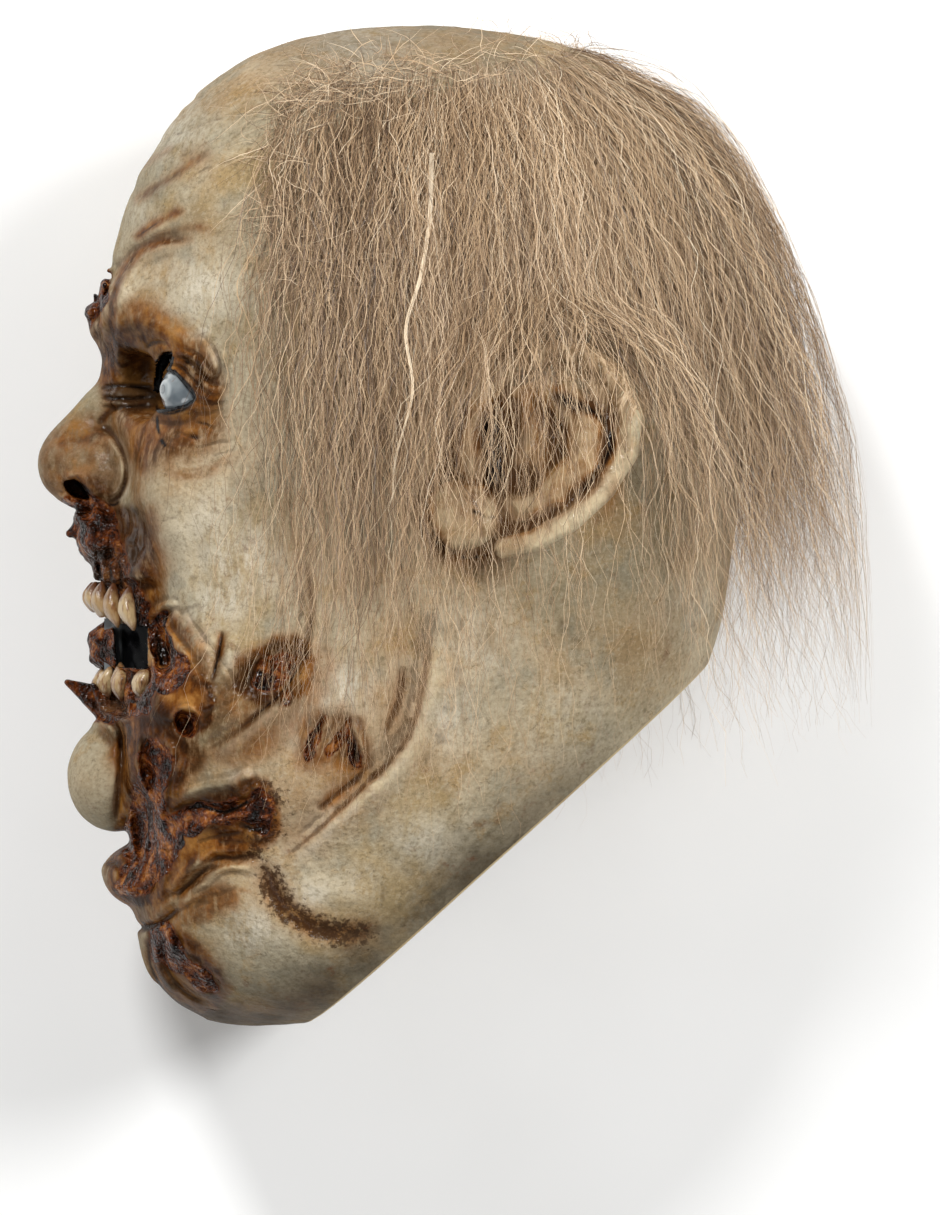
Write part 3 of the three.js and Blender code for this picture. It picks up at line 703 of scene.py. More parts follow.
def chin_relief():
    # round the ball-shaped swelling, with a lobe behind it
    stroke(BOTH, [(92, 716), (108, 718), (120, 732), (122, 758), (119, 790), (116, 820)], 3.4, -2.6, fade=0.1)
    stroke(BOTH, [(126, 738), (130, 764), (127, 800), (122, 826)], 5.5, 1.6)
    # the torn column and its ridges
    for points, width, high in [
        ([(146, 738), (152, 770), (148, 810), (140, 850), (128, 888)], 9, -2.4),
        ([(140, 736), (138, 764), (146, 790), (158, 806), (162, 830)], 2.6, 2.6),
        ([(166, 738), (172, 762), (166, 784), (163, 812)], 2.8, 2.4),
        ([(150, 744), (156, 772), (156, 800)], 2.2, 2.0),
        ([(134, 800), (130, 830), (136, 860), (126, 892)], 3.0, 2.0),
        ([(148, 830), (142, 866), (130, 896)], 2.6, 1.6),
        ([(182, 752), (176, 776), (172, 800)], 3.0, 1.6),
        ([(176, 752), (171, 776), (168, 796)], 1.8, -1.6),
        ([(150, 838), (156, 862), (152, 894)], 2.4, -1.4),
        ([(158, 846), (165, 870), (160, 898)], 3.0, 1.2),
        ([(112, 890), (122, 888), (131, 893)], 2.6, 1.6),
        ([(110, 858), (118, 866), (122, 880)], 3.0, -1.2),
    ]:
        stroke(LEFT, points, width, high, wobble=1.2)
    # the gash and its thick lower lip
    stroke(LEFT, GASH, 4.2, -3.4)
    stroke(LEFT, [(184, 834), (206, 824), (236, 815), (252, 812)], 4.0, 2.8)
    stroke(LEFT, [(196, 842), (222, 836), (246, 832)], 2.4, -1.4)
    stroke(LEFT, [(238, 822), (254, 828), (268, 824)], 4, -2.2, wobble=1.5)
    stroke(LEFT, [(180, 796), (206, 786), (232, 782), (252, 770)], 5, 1.9)
    for x, y in [(236, 786), (248, 778), (256, 788), (262, 800), (250, 796), (264, 818), (258, 838)]:
        stroke(LEFT, [(x - 1, y), (x + 1, y)], 3.2, 1.8, fade=0)
    stroke(LEFT, [(168, 890), (190, 868), (214, 853)], 4.5, 1.6)
    stroke(LEFT, [(176, 900), (196, 878), (222, 864)], 3.0, -1.6)
    # middle roll, chin and its slits
    fold(BOTH, [(170, 908), (190, 889), (214, 867), (236, 862), (262, 860)], 7, 1.6)
    stroke(BOTH, [(110, 903), (122, 918), (134, 925), (148, 927), (168, 918), (184, 900)], 3.6, -3.4)
    for points, width, high in [
        (CHIN_SLITS[0], 2.2, -2.0),
        ([(160, 932), (164, 962), (184, 990), (212, 1006)], 2.2, -1.8),
        (CHIN_SLITS[1], 2.4, -2.0),
        ([(168, 928), (170, 944), (176, 958)], 3.4, 2.2),
        ([(184, 944), (190, 958), (204, 970)], 3.6, 2.0),
        ([(156, 940), (158, 968), (176, 996)], 2.8, 1.5),
        ([(176, 966), (196, 988), (214, 998)], 3.4, 1.3),
    ]:
        stroke(BOTH, points, width, high)
    # stained arc and the rolls on both sides of it
    stroke(BOTH, STAIN_ARC, 9, -1.7)
    stroke(BOTH, [(232, 890), (252, 920), (290, 948), (340, 960)], 20, 1.5)
    stroke(BOTH, [(300, 872), (330, 894), (380, 904)], 16, 1.2)


def lump_relief():
    # lumps of the cheeks and jowls
    for x, y, size, high in [
        (236, 566, 34, 1.6), (360, 640, 40, 1.2), (330, 690, 22, 0.8), (300, 770, 24, 1.4),
        (462, 700, 34, 1.2), (500, 800, 40, 1.0), (420, 830, 34, 1.4), (350, 860, 24, 1.0),
        (560, 640, 40, -1.0), (186, 480, 26, -1.0), (90, 866, 14, 1.2), (270, 480, 44, 0.8),
        (372, 560, 30, -0.8),
    ]:
        stroke(BOTH, [(x - 4, y), (x + 4, y)], size, high, fade=0)
    # the wound between the brows
    for x, y, high in [(92, 292, 1.8), (88, 312, 2.2), (96, 326, 1.4), (103, 284, 1.6), (106, 270, 1.4)]:
        stroke(BOTH, [(x - 1, y), (x + 1, y)], 4.5, high, fade=0)
    stroke(BOTH, [(98, 276), (97, 302), (92, 330)], 2.0, -1.4)


# Painted areas on each sheet: outline, strength, softness and raggedness of the edge, and at times
# the size of its rags. Wash is brown, the next sheet is almost black, and a few rows of both are painted
# shade.
PAINTED_AREAS = {
    "wash_and_shade": [
        ([(102, 340), (116, 320), (138, 314), (164, 324), (188, 342), (206, 356), (222, 374), (222, 398),
         (206, 410), (176, 414), (150, 410), (110, 406), (98, 384)], 0.9, 9, 3),
        ([(106, 400), (218, 404), (224, 436), (196, 456), (160, 466), (136, 480), (118, 440)], 0.72, 16, 5),
        ([(44, 440), (84, 414), (106, 420), (122, 444), (124, 486), (104, 504), (66, 504), (40, 486)], 0.5,
         9, 6, 12),
        ([(52, 436), (84, 418), (106, 424), (112, 440), (92, 450), (60, 458)], 0.66, 12, 8),
        ([(56, 474), (100, 476), (118, 488), (104, 504), (66, 504)], 0.72, 8, 6),
        ([(70, 500), (122, 504), (150, 530), (160, 560), (162, 600), (150, 616), (128, 616), (96, 596),
         (76, 540)], 0.8, 8, 5),
        ([(100, 336), (110, 312), (132, 300), (158, 306), (184, 322), (204, 342), (216, 364), (204, 366),
         (182, 344), (150, 326), (120, 330), (108, 352)], 0.7, 13, 4),
        ([(84, 300), (100, 300), (106, 340), (104, 384), (94, 384), (92, 340)], 0.75, 6, 3),
        ([(104, 700), (150, 690), (190, 740), (186, 800), (170, 900), (116, 906), (106, 880), (116, 820),
         (126, 770), (122, 730)], 0.95, 8, 5),
        ([(146, 676), (172, 664), (206, 676), (218, 704), (206, 734), (178, 742), (156, 730)], 1.0, 7, 5),
        ([(122, 560), (150, 560), (162, 600), (160, 680), (146, 690), (132, 640), (128, 600)], 0.9, 6, 4),
        ([(96, 716), (120, 724), (126, 764), (114, 752), (102, 736)], 0.55, 5, 3),
        ([(84, 900), (120, 890), (170, 900), (220, 880), (240, 900), (180, 930), (140, 936), (110, 920)],
         0.6, 8, 5),
        ([(210, 700), (240, 656), (300, 632), (332, 660), (316, 716), (252, 764), (206, 760)], 0.5, 12, 6),
        (EAR_AREA, 0.45, 14, 4),
        ([(140, 612), (160, 604), (190, 622), (208, 660), (216, 690), (214, 716), (200, 740), (206, 756),
         (186, 790), (170, 800), (160, 740), (146, 716), (144, 660)], 0.72, 10, 7, 16),
        ([(232, 690), (240, 660), (262, 644), (290, 634), (312, 640), (318, 664), (304, 700), (280, 712),
         (256, 706)], 0.85, 8, 8, 14),
        ([(116, 740), (140, 732), (176, 760), (176, 800), (214, 792), (258, 776), (276, 800), (278, 836),
         (240, 858), (196, 870), (170, 900), (128, 908), (110, 886), (122, 840)], 0.9, 9, 6, 16),
        ([(146, 922), (172, 918), (196, 940), (222, 970), (228, 996), (206, 1018), (170, 1004), (150, 970)],
         0.8, 8, 5),
        ([(298, 712), (330, 706), (362, 716), (372, 760), (360, 780), (330, 772), (300, 768)], 0.62, 12, 8),
    ],
    "burnt_and_shade": [
        ([(106, 332), (118, 320), (140, 319), (156, 330), (160, 350), (153, 372), (148, 384), (126, 384),
         (110, 370), (106, 350)], 0.85, 11, 3),
        ([(146, 384), (168, 410), (200, 402), (226, 398), (222, 416), (190, 424), (160, 424)], 0.5, 7, 3),
        ([(104, 384), (156, 386), (154, 408), (112, 408)], 0.8, 5, 3),
        ([(70, 500), (96, 500), (106, 506), (84, 512)], 0.7, 4, 3),
        ([(126, 506), (148, 524), (148, 556), (134, 576), (122, 560)], 0.4, 8, 3),
        ([(138, 690), (160, 696), (172, 716), (170, 740), (150, 738), (136, 716)], 0.7, 6, 3),
        ([(190, 660), (212, 676), (216, 700), (204, 714), (196, 690)], 0.4, 6, 3),
        ([(232, 690), (262, 662), (298, 640), (308, 652), (304, 688), (280, 700), (250, 700)], 0.5, 8, 3),
        ([(132, 736), (186, 742), (178, 800), (164, 900), (116, 896), (124, 830)], 0.55, 8, 3),
        ([(172, 800), (262, 778), (276, 812), (262, 842), (230, 838), (190, 828)], 0.65, 6, 3),
        ([(148, 926), (176, 928), (220, 974), (226, 1000), (196, 1004), (160, 968)], 0.55, 7, 3),
        # painted shade under the chin
        ([(112, 960), (140, 990), (190, 1008), (240, 1004), (236, 1024), (150, 1016)], 0.7, 9, 3),
        ([(300, 716), (356, 714), (364, 760), (330, 766), (302, 758)], 0.35, 8, 3),
    ],
    "ochre": [
        (EAR_AREA, 0.8, 14, 4),
        ([(150, 60), (300, 20), (620, 20), (640, 60), (420, 74), (300, 90), (180, 120)], 0.6, 24, 12),
    ],
    "olive": [
        ([(206, 690), (250, 690), (300, 700), (260, 750), (214, 756)], 1.0, 12, 6),
    ],
    "grey": [
        ([(120, 504), (136, 504), (147, 522), (146, 552), (134, 572), (126, 556), (122, 530)], 0.75, 6, 5),
        ([(90, 548), (122, 552), (128, 570), (128, 592), (112, 590), (96, 590)], 0.6, 5, 4),
        ([(98, 702), (112, 698), (128, 704), (124, 720), (104, 716)], 0.85, 4, 3),
        ([(102, 386), (130, 385), (154, 390), (154, 404), (124, 406), (106, 398)], 0.7, 4, 2),
    ],
}
# Painted lines: sheet, how much of their length fades, how far they waver, and the lines themselves with
# path, width and strength
PAINTED_LINES = [
    ("wash_and_shade", 0.15, 1.5, [
        ([(132, 202), (152, 190), (170, 178), (192, 163), (212, 150)], 5, 0.6),
        ([(180, 164), (198, 158), (214, 152)], 11, 0.3),
        (FOREHEAD_FOLD, 5, 0.35),
        ([(132, 240), (146, 230), (162, 220), (186, 208)], 5, 0.7),
        ([(140, 250), (160, 236), (190, 228), (214, 230)], 5, 0.4),
        (BROW_FOLD, 6, 0.75),
        ([(115, 300), (111, 336), (113, 362), (119, 384)], 6, 0.85),
        ([(99, 290), (97, 320), (99, 360)], 5, 0.7),
        ([(100, 424), (112, 410), (126, 406)], 6, 0.8),
        (NOSE_WING, 4, 0.6),
        ([(130, 440), (134, 476), (142, 520)], 8, 0.45),
        ([(146, 500), (154, 540), (160, 590)], 11, 0.6),
        ([(150, 600), (146, 624), (146, 660), (152, 690)], 9, 0.9),
    ]),
    ("wash_and_shade", 0.15, 0, [
        # painted shade along the lower edge of the chin
        ([(170, 1010), (220, 1016), (290, 1008), (340, 980)], 16, 0.4),
        ([(160, 700), (186, 690), (202, 696)], 18, 0.95),
    ]),
    ("wash_and_shade", 0.15, 2, [
        ([(x - 12, y - 6) for x, y in JAW_CREASE[2:]], 26, 0.26),
        (JAW_CREASE[1:], 4.0, 0.5),
        (CHEEK_CREASE[2:], 8, 0.7),
        (CHEEK_CREASE[:3], 5, 0.35),
        (CHEEK_FOLDS[0], 8, 0.5),
        (CHEEK_FOLDS[1], 9, 0.7),
        (STAIN_ARC, 15, 0.62),
        ([(110, 903), (134, 925), (168, 918), (184, 900)], 8, 0.8),
        ([(170, 905), (192, 886), (216, 866), (262, 858)], 7, 0.7),
        ([(92, 716), (110, 720), (122, 734), (126, 766), (121, 800), (117, 826)], 7, 0.85),
        (CHEEK_SLIT, 5, 0.8),
        ([(430, 470), (430, 510), (446, 552), (480, 556), (510, 546)], 9, 0.7),
        # painted shade in the ear's hollow and inside its rim, down to the end of this list
        ([(486, 392), (490, 450), (500, 506)], 20, 1.0),
        ([(548, 396), (570, 404), (582, 414)], 14, 0.9),
        ([(534, 383), (576, 402), (606, 422), (610, 446), (596, 474), (576, 496), (552, 510)], 11, 0.85),
        ([(600, 380), (622, 420), (622, 470), (600, 520)], 9, 0.45),
    ]),
    ("pale", 0.15, 1, [
        ([(x + 8, y + 6) for x, y in JAW_CREASE], 5, 0.6),
        ([(x + 5, y + 1) for x, y in NOSE_WING], 1.6, 0.7),
        ([(x + 8, y + 5) for x, y in CHEEK_CREASE[2:]], 5, 0.8),
        ([(106, 270), (101, 300), (100, 340)], 2.6, 0.8),
        ([(172, 722), (178, 710), (188, 707), (200, 714)], 2.2, 0.9),
        ([(186, 614), (198, 640), (208, 662)], 6, 0.9),
    ]),
    ("dark", 0.25, 0, [
        ([(156, 396), (158, 410), (168, 413), (182, 410), (197, 402)], 2.6, 1.0),
        ([(165, 371), (174, 372), (187, 383), (199, 398)], 1.8, 1.0),
        ([(157, 412), (158, 428), (161, 438)], 2.2, 1.0),
        ([(160, 438), (165, 446)], 3.0, 1.0),
        ([(164, 445), (166, 447)], 4.2, 1.0),
        ([(101, 388), (120, 386), (154, 389)], 2.2, 0.85),
        ([(104, 397), (130, 399), (154, 396)], 2.2, 0.85),
        ([(114, 405), (132, 407), (152, 403)], 2.2, 0.8),
        ([(126, 404), (156, 408)], 5.0, 0.6),
        ([(146, 352), (142, 376), (152, 388)], 6.0, 0.45),
        ([(145, 350), (152, 344), (162, 342)], 1.8, 0.8),
        ([(184, 361), (192, 364)], 2.4, 0.9),
        (LID_LINES[0], 1.6, 0.8),
        (LID_LINES[1], 1.5, 0.7),
        ([(213, 346), (220, 362), (218, 376)], 1.4, 0.5),
        ([(198, 403), (212, 404), (224, 402)], 1.5, 0.7),
        ([(194, 422), (204, 423), (214, 428)], 1.9, 0.8),
        ([(189, 436), (200, 439)], 1.9, 0.85),
        (NOSE_WING[1:], 1.3, 0.55),
        ([(106, 503), (114, 505), (121, 500)], 2.2, 0.9),
        # painted shade in the nostril
        ([(70, 485), (78, 484), (86, 491), (91, 498)], 4.2, 1.0),
        ([(134, 239), (147, 230), (162, 220)], 1.2, 0.8),
        ([(136, 200), (166, 182), (192, 164)], 1.0, 0.45),
        ([(98, 562), (101, 588)], 2.4, 0.9),
        ([(110, 562), (112, 586)], 2.4, 0.9),
        ([(120, 566), (122, 594)], 2.4, 0.9),
        ([(127, 590), (136, 600), (138, 622)], 3.0, 0.8),
        ([(124, 700), (138, 702), (150, 702)], 3.0, 0.8),
        ([(132, 668), (132, 692)], 1.8, 0.8),
        (CHEEK_SLIT, 1.4, 1.0),
        ([(205, 680), (211, 698)], 1.8, 0.9),
        ([(156, 626), (160, 650), (164, 674)], 4.0, 0.9),
        ([(308, 646), (298, 668), (284, 690), (262, 710), (236, 732)], 1.6, 0.9),
        ([(308, 570), (312, 610), (308, 646)], 1.4, 0.5),
        ([(432, 640), (422, 690), (410, 730), (388, 764), (340, 810), (300, 846)], 1.4, 0.45),
        ([(110, 903), (122, 918), (134, 925), (148, 927), (168, 918)], 2.0, 0.8),
        (CHIN_SLITS[0], 1.8, 0.8),
        (CHIN_SLITS[1], 1.6, 0.7),
        ([(430, 470), (427, 500), (434, 532), (456, 555), (484, 556), (510, 544)], 2.4, 0.9),
        ([(466, 506), (480, 514), (500, 518)], 1.8, 0.95),
        # this line and the next two are painted shade in the ear's hollow and inside its rim
        ([(486, 396), (492, 450), (498, 504)], 15, 1.0),
        ([(546, 394), (568, 402), (582, 412)], 9, 0.9),
        ([(532, 382), (576, 402), (606, 422), (610, 446), (596, 474), (576, 496), (552, 510)], 5, 0.9),
        ([(178, 812), (200, 806), (224, 812), (246, 803), (262, 792)], 2.8, 1.0),
        ([(240, 824), (256, 830), (270, 826)], 3.4, 0.9),
        ([(432, 458), (446, 454), (456, 458)], 3.4, 0.8),
        ([(476, 788), (484, 790)], 3, 0.6),
        ([(403, 830), (406, 840)], 2, 0.4),
        ([(256, 670), (264, 676)], 4.5, 1.0),
        ([(322, 720), (314, 736), (308, 754)], 2.0, 0.9),
        ([(350, 730), (356, 746), (357, 764)], 2.2, 0.9),
        ([(92, 716), (108, 718), (120, 732), (122, 758)], 1.6, 0.6),
    ]),
    ("stain", 0.15, 3, [
        (STAIN_ARC, 20, 1.0),
    ]),
    ("stain", 0.15, 0, [
        (STAIN_ARC[:4], 32, 0.55),
    ]),
    # painted shade under the chin and along the lower edge of the neck; the rows at the top darken the crown
    ("shade", 0.25, 0, [
        ([(120, 1012), (200, 1026), (300, 1004), (430, 908), (560, 810), (640, 740)], 38, 0.72),
        ([(130, 980), (180, 1006), (250, 1004)], 30, 0.62),
        ([(300, 990), (380, 910), (460, 850)], 30, 0.3),
        ([(250, 56), (310, 44), (380, 36), (480, 36), (560, 40)], 46, 0.42),
        ([(560, 36), (640, 44)], 30, 0.3),
        ([(440, 430), (470, 560), (520, 590)], 30, 0.15),
        ([(118, 812), (112, 836), (106, 846)], 8, 0.3),
    ]),
]
# Round dabs on each sheet: place, size and strength
PAINTED_DABS = {
    "ochre": [
        (176, 470, 40, 0.85), (150, 440, 30, 0.9), (230, 470, 36, 0.5), (290, 780, 40, 0.8),
        (250, 750, 30, 0.8), (380, 700, 44, 0.6), (370, 560, 40, 0.5), (480, 620, 60, 0.35),
        (600, 600, 50, 0.3), (230, 850, 36, 0.8), (190, 230, 40, 0.5), (160, 260, 30, 0.5),
        (250, 700, 30, 0.7), (450, 530, 46, 0.8), (560, 440, 46, 0.6), (120, 760, 18, 0.8),
        (190, 950, 30, 0.7), (690, 520, 40, 0.3), (520, 760, 50, 0.35), (96, 432, 24, 0.8),
        (440, 760, 40, 0.5), (340, 770, 36, 0.9), (240, 900, 30, 0.5), (90, 780, 26, 0.25),
        (152, 570, 22, 0.9), (210, 180, 34, 0.35), (400, 640, 30, 0.6), (180, 880, 20, 0.7),
        (60, 460, 30, 0.9), (90, 480, 24, 0.9), (640, 640, 60, 0.5), (560, 660, 50, 0.4),
        (300, 840, 40, 0.5), (350, 800, 40, 0.6), (700, 560, 40, 0.5), (200, 780, 40, 0.8),
        (250, 820, 40, 0.7), (180, 700, 40, 0.8), (160, 990, 30, 0.5), (150, 300, 20, 0.6),
        (480, 560, 40, 0.7), (610, 520, 40, 0.5), (430, 690, 40, 0.6), (300, 560, 40, 0.3),
        (128, 540, 20, 0.5),
    ],
    # pale dabs are partly light paint and partly painted highlight
    "pale": [
        (240, 560, 44, 1.0), (222, 600, 30, 1.0), (196, 640, 12, 0.9), (340, 690, 30, 1.0),
        (300, 730, 22, 0.9), (242, 782, 11, 1.0), (330, 820, 20, 0.7), (440, 720, 30, 0.8),
        (476, 640, 40, 0.6), (126, 764, 8, 1.0), (250, 930, 26, 0.9), (310, 896, 16, 0.9),
        (170, 130, 44, 0.7), (200, 290, 34, 0.9), (120, 290, 8, 0.9), (360, 44, 60, 0.6), (206, 330, 8, 1.0),
        (214, 360, 5, 0.9), (88, 480, 12, 0.5), (420, 840, 30, 0.7), (560, 720, 44, 0.5),
        (690, 600, 34, 0.4), (210, 520, 34, 0.6), (96, 340, 5, 0.8), (104, 330, 4, 0.9), (70, 450, 14, 0.4),
        (140, 214, 16, 0.6), (360, 880, 20, 0.6), (236, 660, 10, 0.9), (176, 766, 7, 0.7),
    ],
    "stain": [
        (278, 668, 22, 0.8), (302, 652, 12, 0.9), (244, 686, 14, 0.6), (268, 800, 24, 0.95),
        (266, 830, 22, 0.9), (160, 716, 12, 0.5), (208, 812, 16, 0.6), (150, 900, 16, 0.5),
        (196, 880, 14, 0.5), (256, 852, 16, 0.9), (262, 820, 14, 0.7), (300, 930, 20, 0.4),
        (356, 760, 16, 0.7), (290, 664, 18, 0.8), (250, 690, 14, 0.6), (150, 520, 14, 0.5),
        (208, 640, 10, 0.4),
    ],
    "olive": [
        (222, 716, 26, 1.0), (206, 740, 18, 0.9), (250, 734, 20, 0.7), (180, 860, 20, 0.8),
        (196, 400, 10, 0.3), (100, 480, 16, 0.9), (80, 456, 16, 0.6), (400, 860, 40, 0.6),
        (480, 820, 60, 0.6), (320, 990, 60, 0.7), (240, 1000, 40, 0.6), (200, 210, 26, 0.6),
        (170, 150, 20, 0.4), (430, 900, 60, 0.8), (110, 730, 10, 0.6), (180, 110, 30, 0.5),
    ],
}
# Fine broken brown lines: path, offsets, width, strength, number and seed
BROWN_WRINKLES = [
    (CHEEK_CREASE, (-34, 24), 3.0, 0.45, 12, 82),
    (UNDER_LIP, (-20, 20), 3.0, 0.6, 12, 84),
    ([(150, 440), (190, 450), (240, 430)], (-30, 30), 2.6, 0.5, 12, 86),
]


def draw_paint():
    """The painted colours, each from 0 to 1."""
    for name, outlines in GORE.items():
        for number, points in enumerate(outlines):
            size = np.ptp(np.array(points), axis=0).min()
            patch(name, points, 1.0, 3.5, min(5, size / 5), 11, seed=60 + number)
    for name, areas in PAINTED_AREAS.items():
        for area in areas:
            patch(name, *area)
    for name, fade, wobble, rows in PAINTED_LINES:
        for points, width, amount in rows:
            stroke(name, points, width, amount, fade, "most", wobble)
    for name, dabs in PAINTED_DABS.items():
        for x, y, size, amount in dabs:
            stroke(name, [(x - 2, y), (x + 2, y)], size, amount, 0, "most")
    for row in BROWN_WRINKLES:
        wrinkles("wash_and_shade", *row)


forehead_relief()
eye_relief()
nose_relief()
mouth_relief()
cheek_relief()
crease_relief()
chin_relief()
lump_relief()
draw_paint()
for relief in (BOTH, LEFT):
    soften(relief, 4)


# The latex

FLOOR_GAP = 0.02
EAR_HEIGHT = side_height(*EAR_FOOT) + 1
# Openings in the photograph: the window beside the teeth, between the lids, and what is seen through
MOUTH_WINDOW = [(114, 624), (147, 627), (147, 668), (117, 667)]
EYE_OPENING = [(154, 392), (157, 362), (163, 352), (172, 351), (170, 363), (166, 371), (174, 373), (195, 398),
               (186, 404), (172, 408), (159, 409), (155, 402)]
EYE_SLIT = [(155, 390), (158, 364), (164, 354), (171, 353), (168, 363), (162, 372), (159, 391)]
# Torn flesh that stands out: points with the distance from the middle plane, and radii
SHREDS = [
    ([(-116, -60, 4), (-127, -51, 8), (-136, -46, 10)], (6.5, 4.5, 1.2)),
    ([(-112, -62, 14), (-121, -55, 16), (-126, -47, 17)], (5, 3, 1)),
    ([(-119, 15, 0), (-129, 13, 1), (-135.5, 10, 2)], (7, 5, 1.6)),
]


def polygon_distance(x, y, points):
    """Signed distance to a closed outline, negative inside."""
    outline = np.asarray(points, float)
    best = np.full(x.shape, 1e6, np.float32)
    for (ax, ay), (bx, by) in zip(outline, np.roll(outline, -1, axis=0)):
        vx, vy = bx - ax, by - ay
        share = np.clip(((x - ax) * vx + (y - ay) * vy) / (vx * vx + vy * vy), 0, 1)
        best = np.minimum(best, np.hypot(x - ax - share * vx, y - ay - share * vy))
    return np.where(inside_outline(x, y, outline), -best, best)


def left_share(z):
    """1 on the left side and 0 on the right one, with a soft change in the middle."""
    return smoothstep(z, MID - 8, MID + 8)


def gore_at(z, across, down):
    """How much bare flesh shows at a point."""
    return np.maximum(drawn("gore", across, down), drawn("gore_left", across, down) * left_share(z))


def ear_distance(x, y, z):
    """The left ear, which stands off the head more and more towards its back edge."""
    turn = math.radians(EAR_TURN)
    rise = EAR_LIFT * (math.sin(turn) * (x - EAR_FOOT[0]) - math.cos(turn) * (y - EAR_FOOT[1]))
    w = (z - EAR_HEIGHT - rise).astype(np.float32)
    plate = mass_distance(x, y, w, (42, 40, 0), (39, 27, 5), EAR_TURN)
    rim = tube_distance(x, y, w, [(px, py, 3.2) for px, py in EAR_RIM], [3.6, 4.2] + [4.6] * 8 + [4.2, 3.6])
    shape = smooth_least(plate, rim, 2.5)
    # hollow inside the rim, then the fold that stands up in it
    shape = smooth_most(shape, -mass_distance(x, y, w, (44, 45, 8), (25, 19, 7.5), EAR_TURN), 2.5)
    fold_line = [(34, 18, 1.5), (46, 24, 3), (55, 34, 3.5), (56, 46, 3.5), (50, 58, 2.5)]
    shape = smooth_least(shape, tube_distance(x, y, w, fold_line, (4, 6, 6.5, 6, 4)), 4)
    shape = smooth_least(shape, tube_distance(x, y, w, [(55, 46, 3), (42, 60, 2)], (4.5, 3)), 3)
    # the deep hollow, the tragus and the lobe
    shape = smooth_most(shape, -mass_distance(x, y, w, (27, 38, 6), (8, 22, 9), -12), 2)
    shape = smooth_most(shape, -mass_distance(x, y, w, (31, 30, 6), (10, 9, 8)), 2)
    shape = smooth_least(shape, mass_distance(x, y, w, (16, 35, 2), (5.5, 8.5, 7), 10), 3)
    lobe = mass_distance(x, y, w, (12.5, 15.5, 1.5), (13.5, 13, 7.5))
    shape = smooth_least(shape, lobe, 1.2)
    lobe_line = [(13, 22, 9), (20, 17, 9), (28, 15, 8)]
    return smooth_most(shape, -tube_distance(x, y, w, lobe_line, (1.4, 1.6, 1.2)), 1)


def right_ear_distance(x, y, z):
    """The right ear, pressed flat where the mask lies on it."""
    pressed = (z - 1.5) / 0.7
    plate = mass_distance(x, y, pressed, (42, 40, 0), (40, 28, 6), EAR_TURN) * 0.8
    lobe = mass_distance(x, y, pressed, (12.5, 15.5, 3), (14, 14, 8)) * 0.8
    return np.minimum(plate, lobe)


def eyeball_away(x, y, side):
    return np.sqrt((x - EYEBALL[0]) ** 2 + (y - EYEBALL[1]) ** 2 + (side - EYEBALL[2]) ** 2)


def outer_distance(x, y, z):
    """The latex's outside, with all its relief."""
    side = np.abs(z - MID)
    distance = head_distance(x, y, side)
    across, down = photo_place(x, y, z)
    distance -= drawn("relief", across, down) + drawn("relief_left", across, down) * left_share(z)
    raw = gore_at(z, across, down)
    spots = raw > 0.02
    if spots.any():
        px, py, pz = x[spots], y[spots], z[spots]
        lumps = 1.1 * fractal(px, py, pz, 6, 3, 3) + 0.8 * np.abs(noise3(px, py, pz, 3.4, 7)) - 0.7
        distance[spots] -= (raw[spots] * lumps).astype(np.float32)
    # the teeth stand in front of the flesh
    for low, high in ((-25, -9), (-57, -41)):
        rows = (x < -96) & (side < 56) & (y > low - 4) & (y < high + 4)
        if rows.any():
            band = smoothstep(y[rows], low - 3, low + 2) * smoothstep(-y[rows], -high - 3, -high + 2)
            band = 3.4 * band * (1 - smoothstep(side[rows], 46, 55))
            distance[rows] += band * (1 - smoothstep(x[rows], -104, -98))
    # slow unevenness of a hand-modelled head
    distance -= 0.5 * fractal(x, y, z, 26, 2, 11) + 0.22 * noise3(x, y, z, 6, 13)
    # no carved line goes right through the latex of the face
    spots = (x < -70) & (np.abs(distance) < 9)
    if spots.any():
        distance[spots] = np.minimum(distance[spots], inner_distance(x[spots], y[spots], z[spots]) - 1.2)
    # ears
    spots = near(x, y, z, (42, 40, 200), (52, 52, 56), 6)
    if spots.any():
        distance[spots] = smooth_least(distance[spots], ear_distance(x[spots], y[spots], z[spots]), 3)
    spots = near(x, y, z, (42, 40, 0), (54, 54, 14), 4)
    if spots.any():
        dent = mass_distance(x[spots], y[spots], z[spots], (40, 38, 0), (50, 42, 6), EAR_TURN)
        ear = right_ear_distance(x[spots], y[spots], z[spots])
        distance[spots] = np.minimum(smooth_most(distance[spots], -dent, 2), ear)
    # shreds of flesh, the mouth's recesses and the eyes
    for points, radii in SHREDS:
        middle = np.mean(points, axis=0) + (0, 0, MID)
        spots = near(x, y, z, middle, (26, 26, 26), 2)
        if spots.any():
            real = [(a, b, MID + c) for a, b, c in points]
            distance[spots] = smooth_least(
                distance[spots], tube_distance(x[spots], y[spots], z[spots], real, radii), 3
            )
    spots = (across > 100) & (across < 160) & (down > 610) & (down < 690)
    if spots.any():
        hole = polygon_distance(across[spots], down[spots], MOUTH_WINDOW) * VIEW_PIXEL
        hole = np.maximum(hole, 10 - side[spots])
        distance[spots] = smooth_most(distance[spots], -hole, 1.2)
    ball = eyeball_away(x, y, side)
    spots = ball < EYE_RADIUS + 12
    if spots.any():
        lids = smooth_least(distance[spots], ball[spots] - EYE_RADIUS - 1.3, 2.5)
        opening = polygon_distance(across[spots], down[spots], EYE_OPENING) * VIEW_PIXEL
        opening = np.maximum(opening, EYEBALL[2] - 12 - side[spots])
        opening = np.maximum(opening, EYE_RADIUS - 0.8 - ball[spots])
        distance[spots] = smooth_most(lids, -opening, 0.8)
    return distance


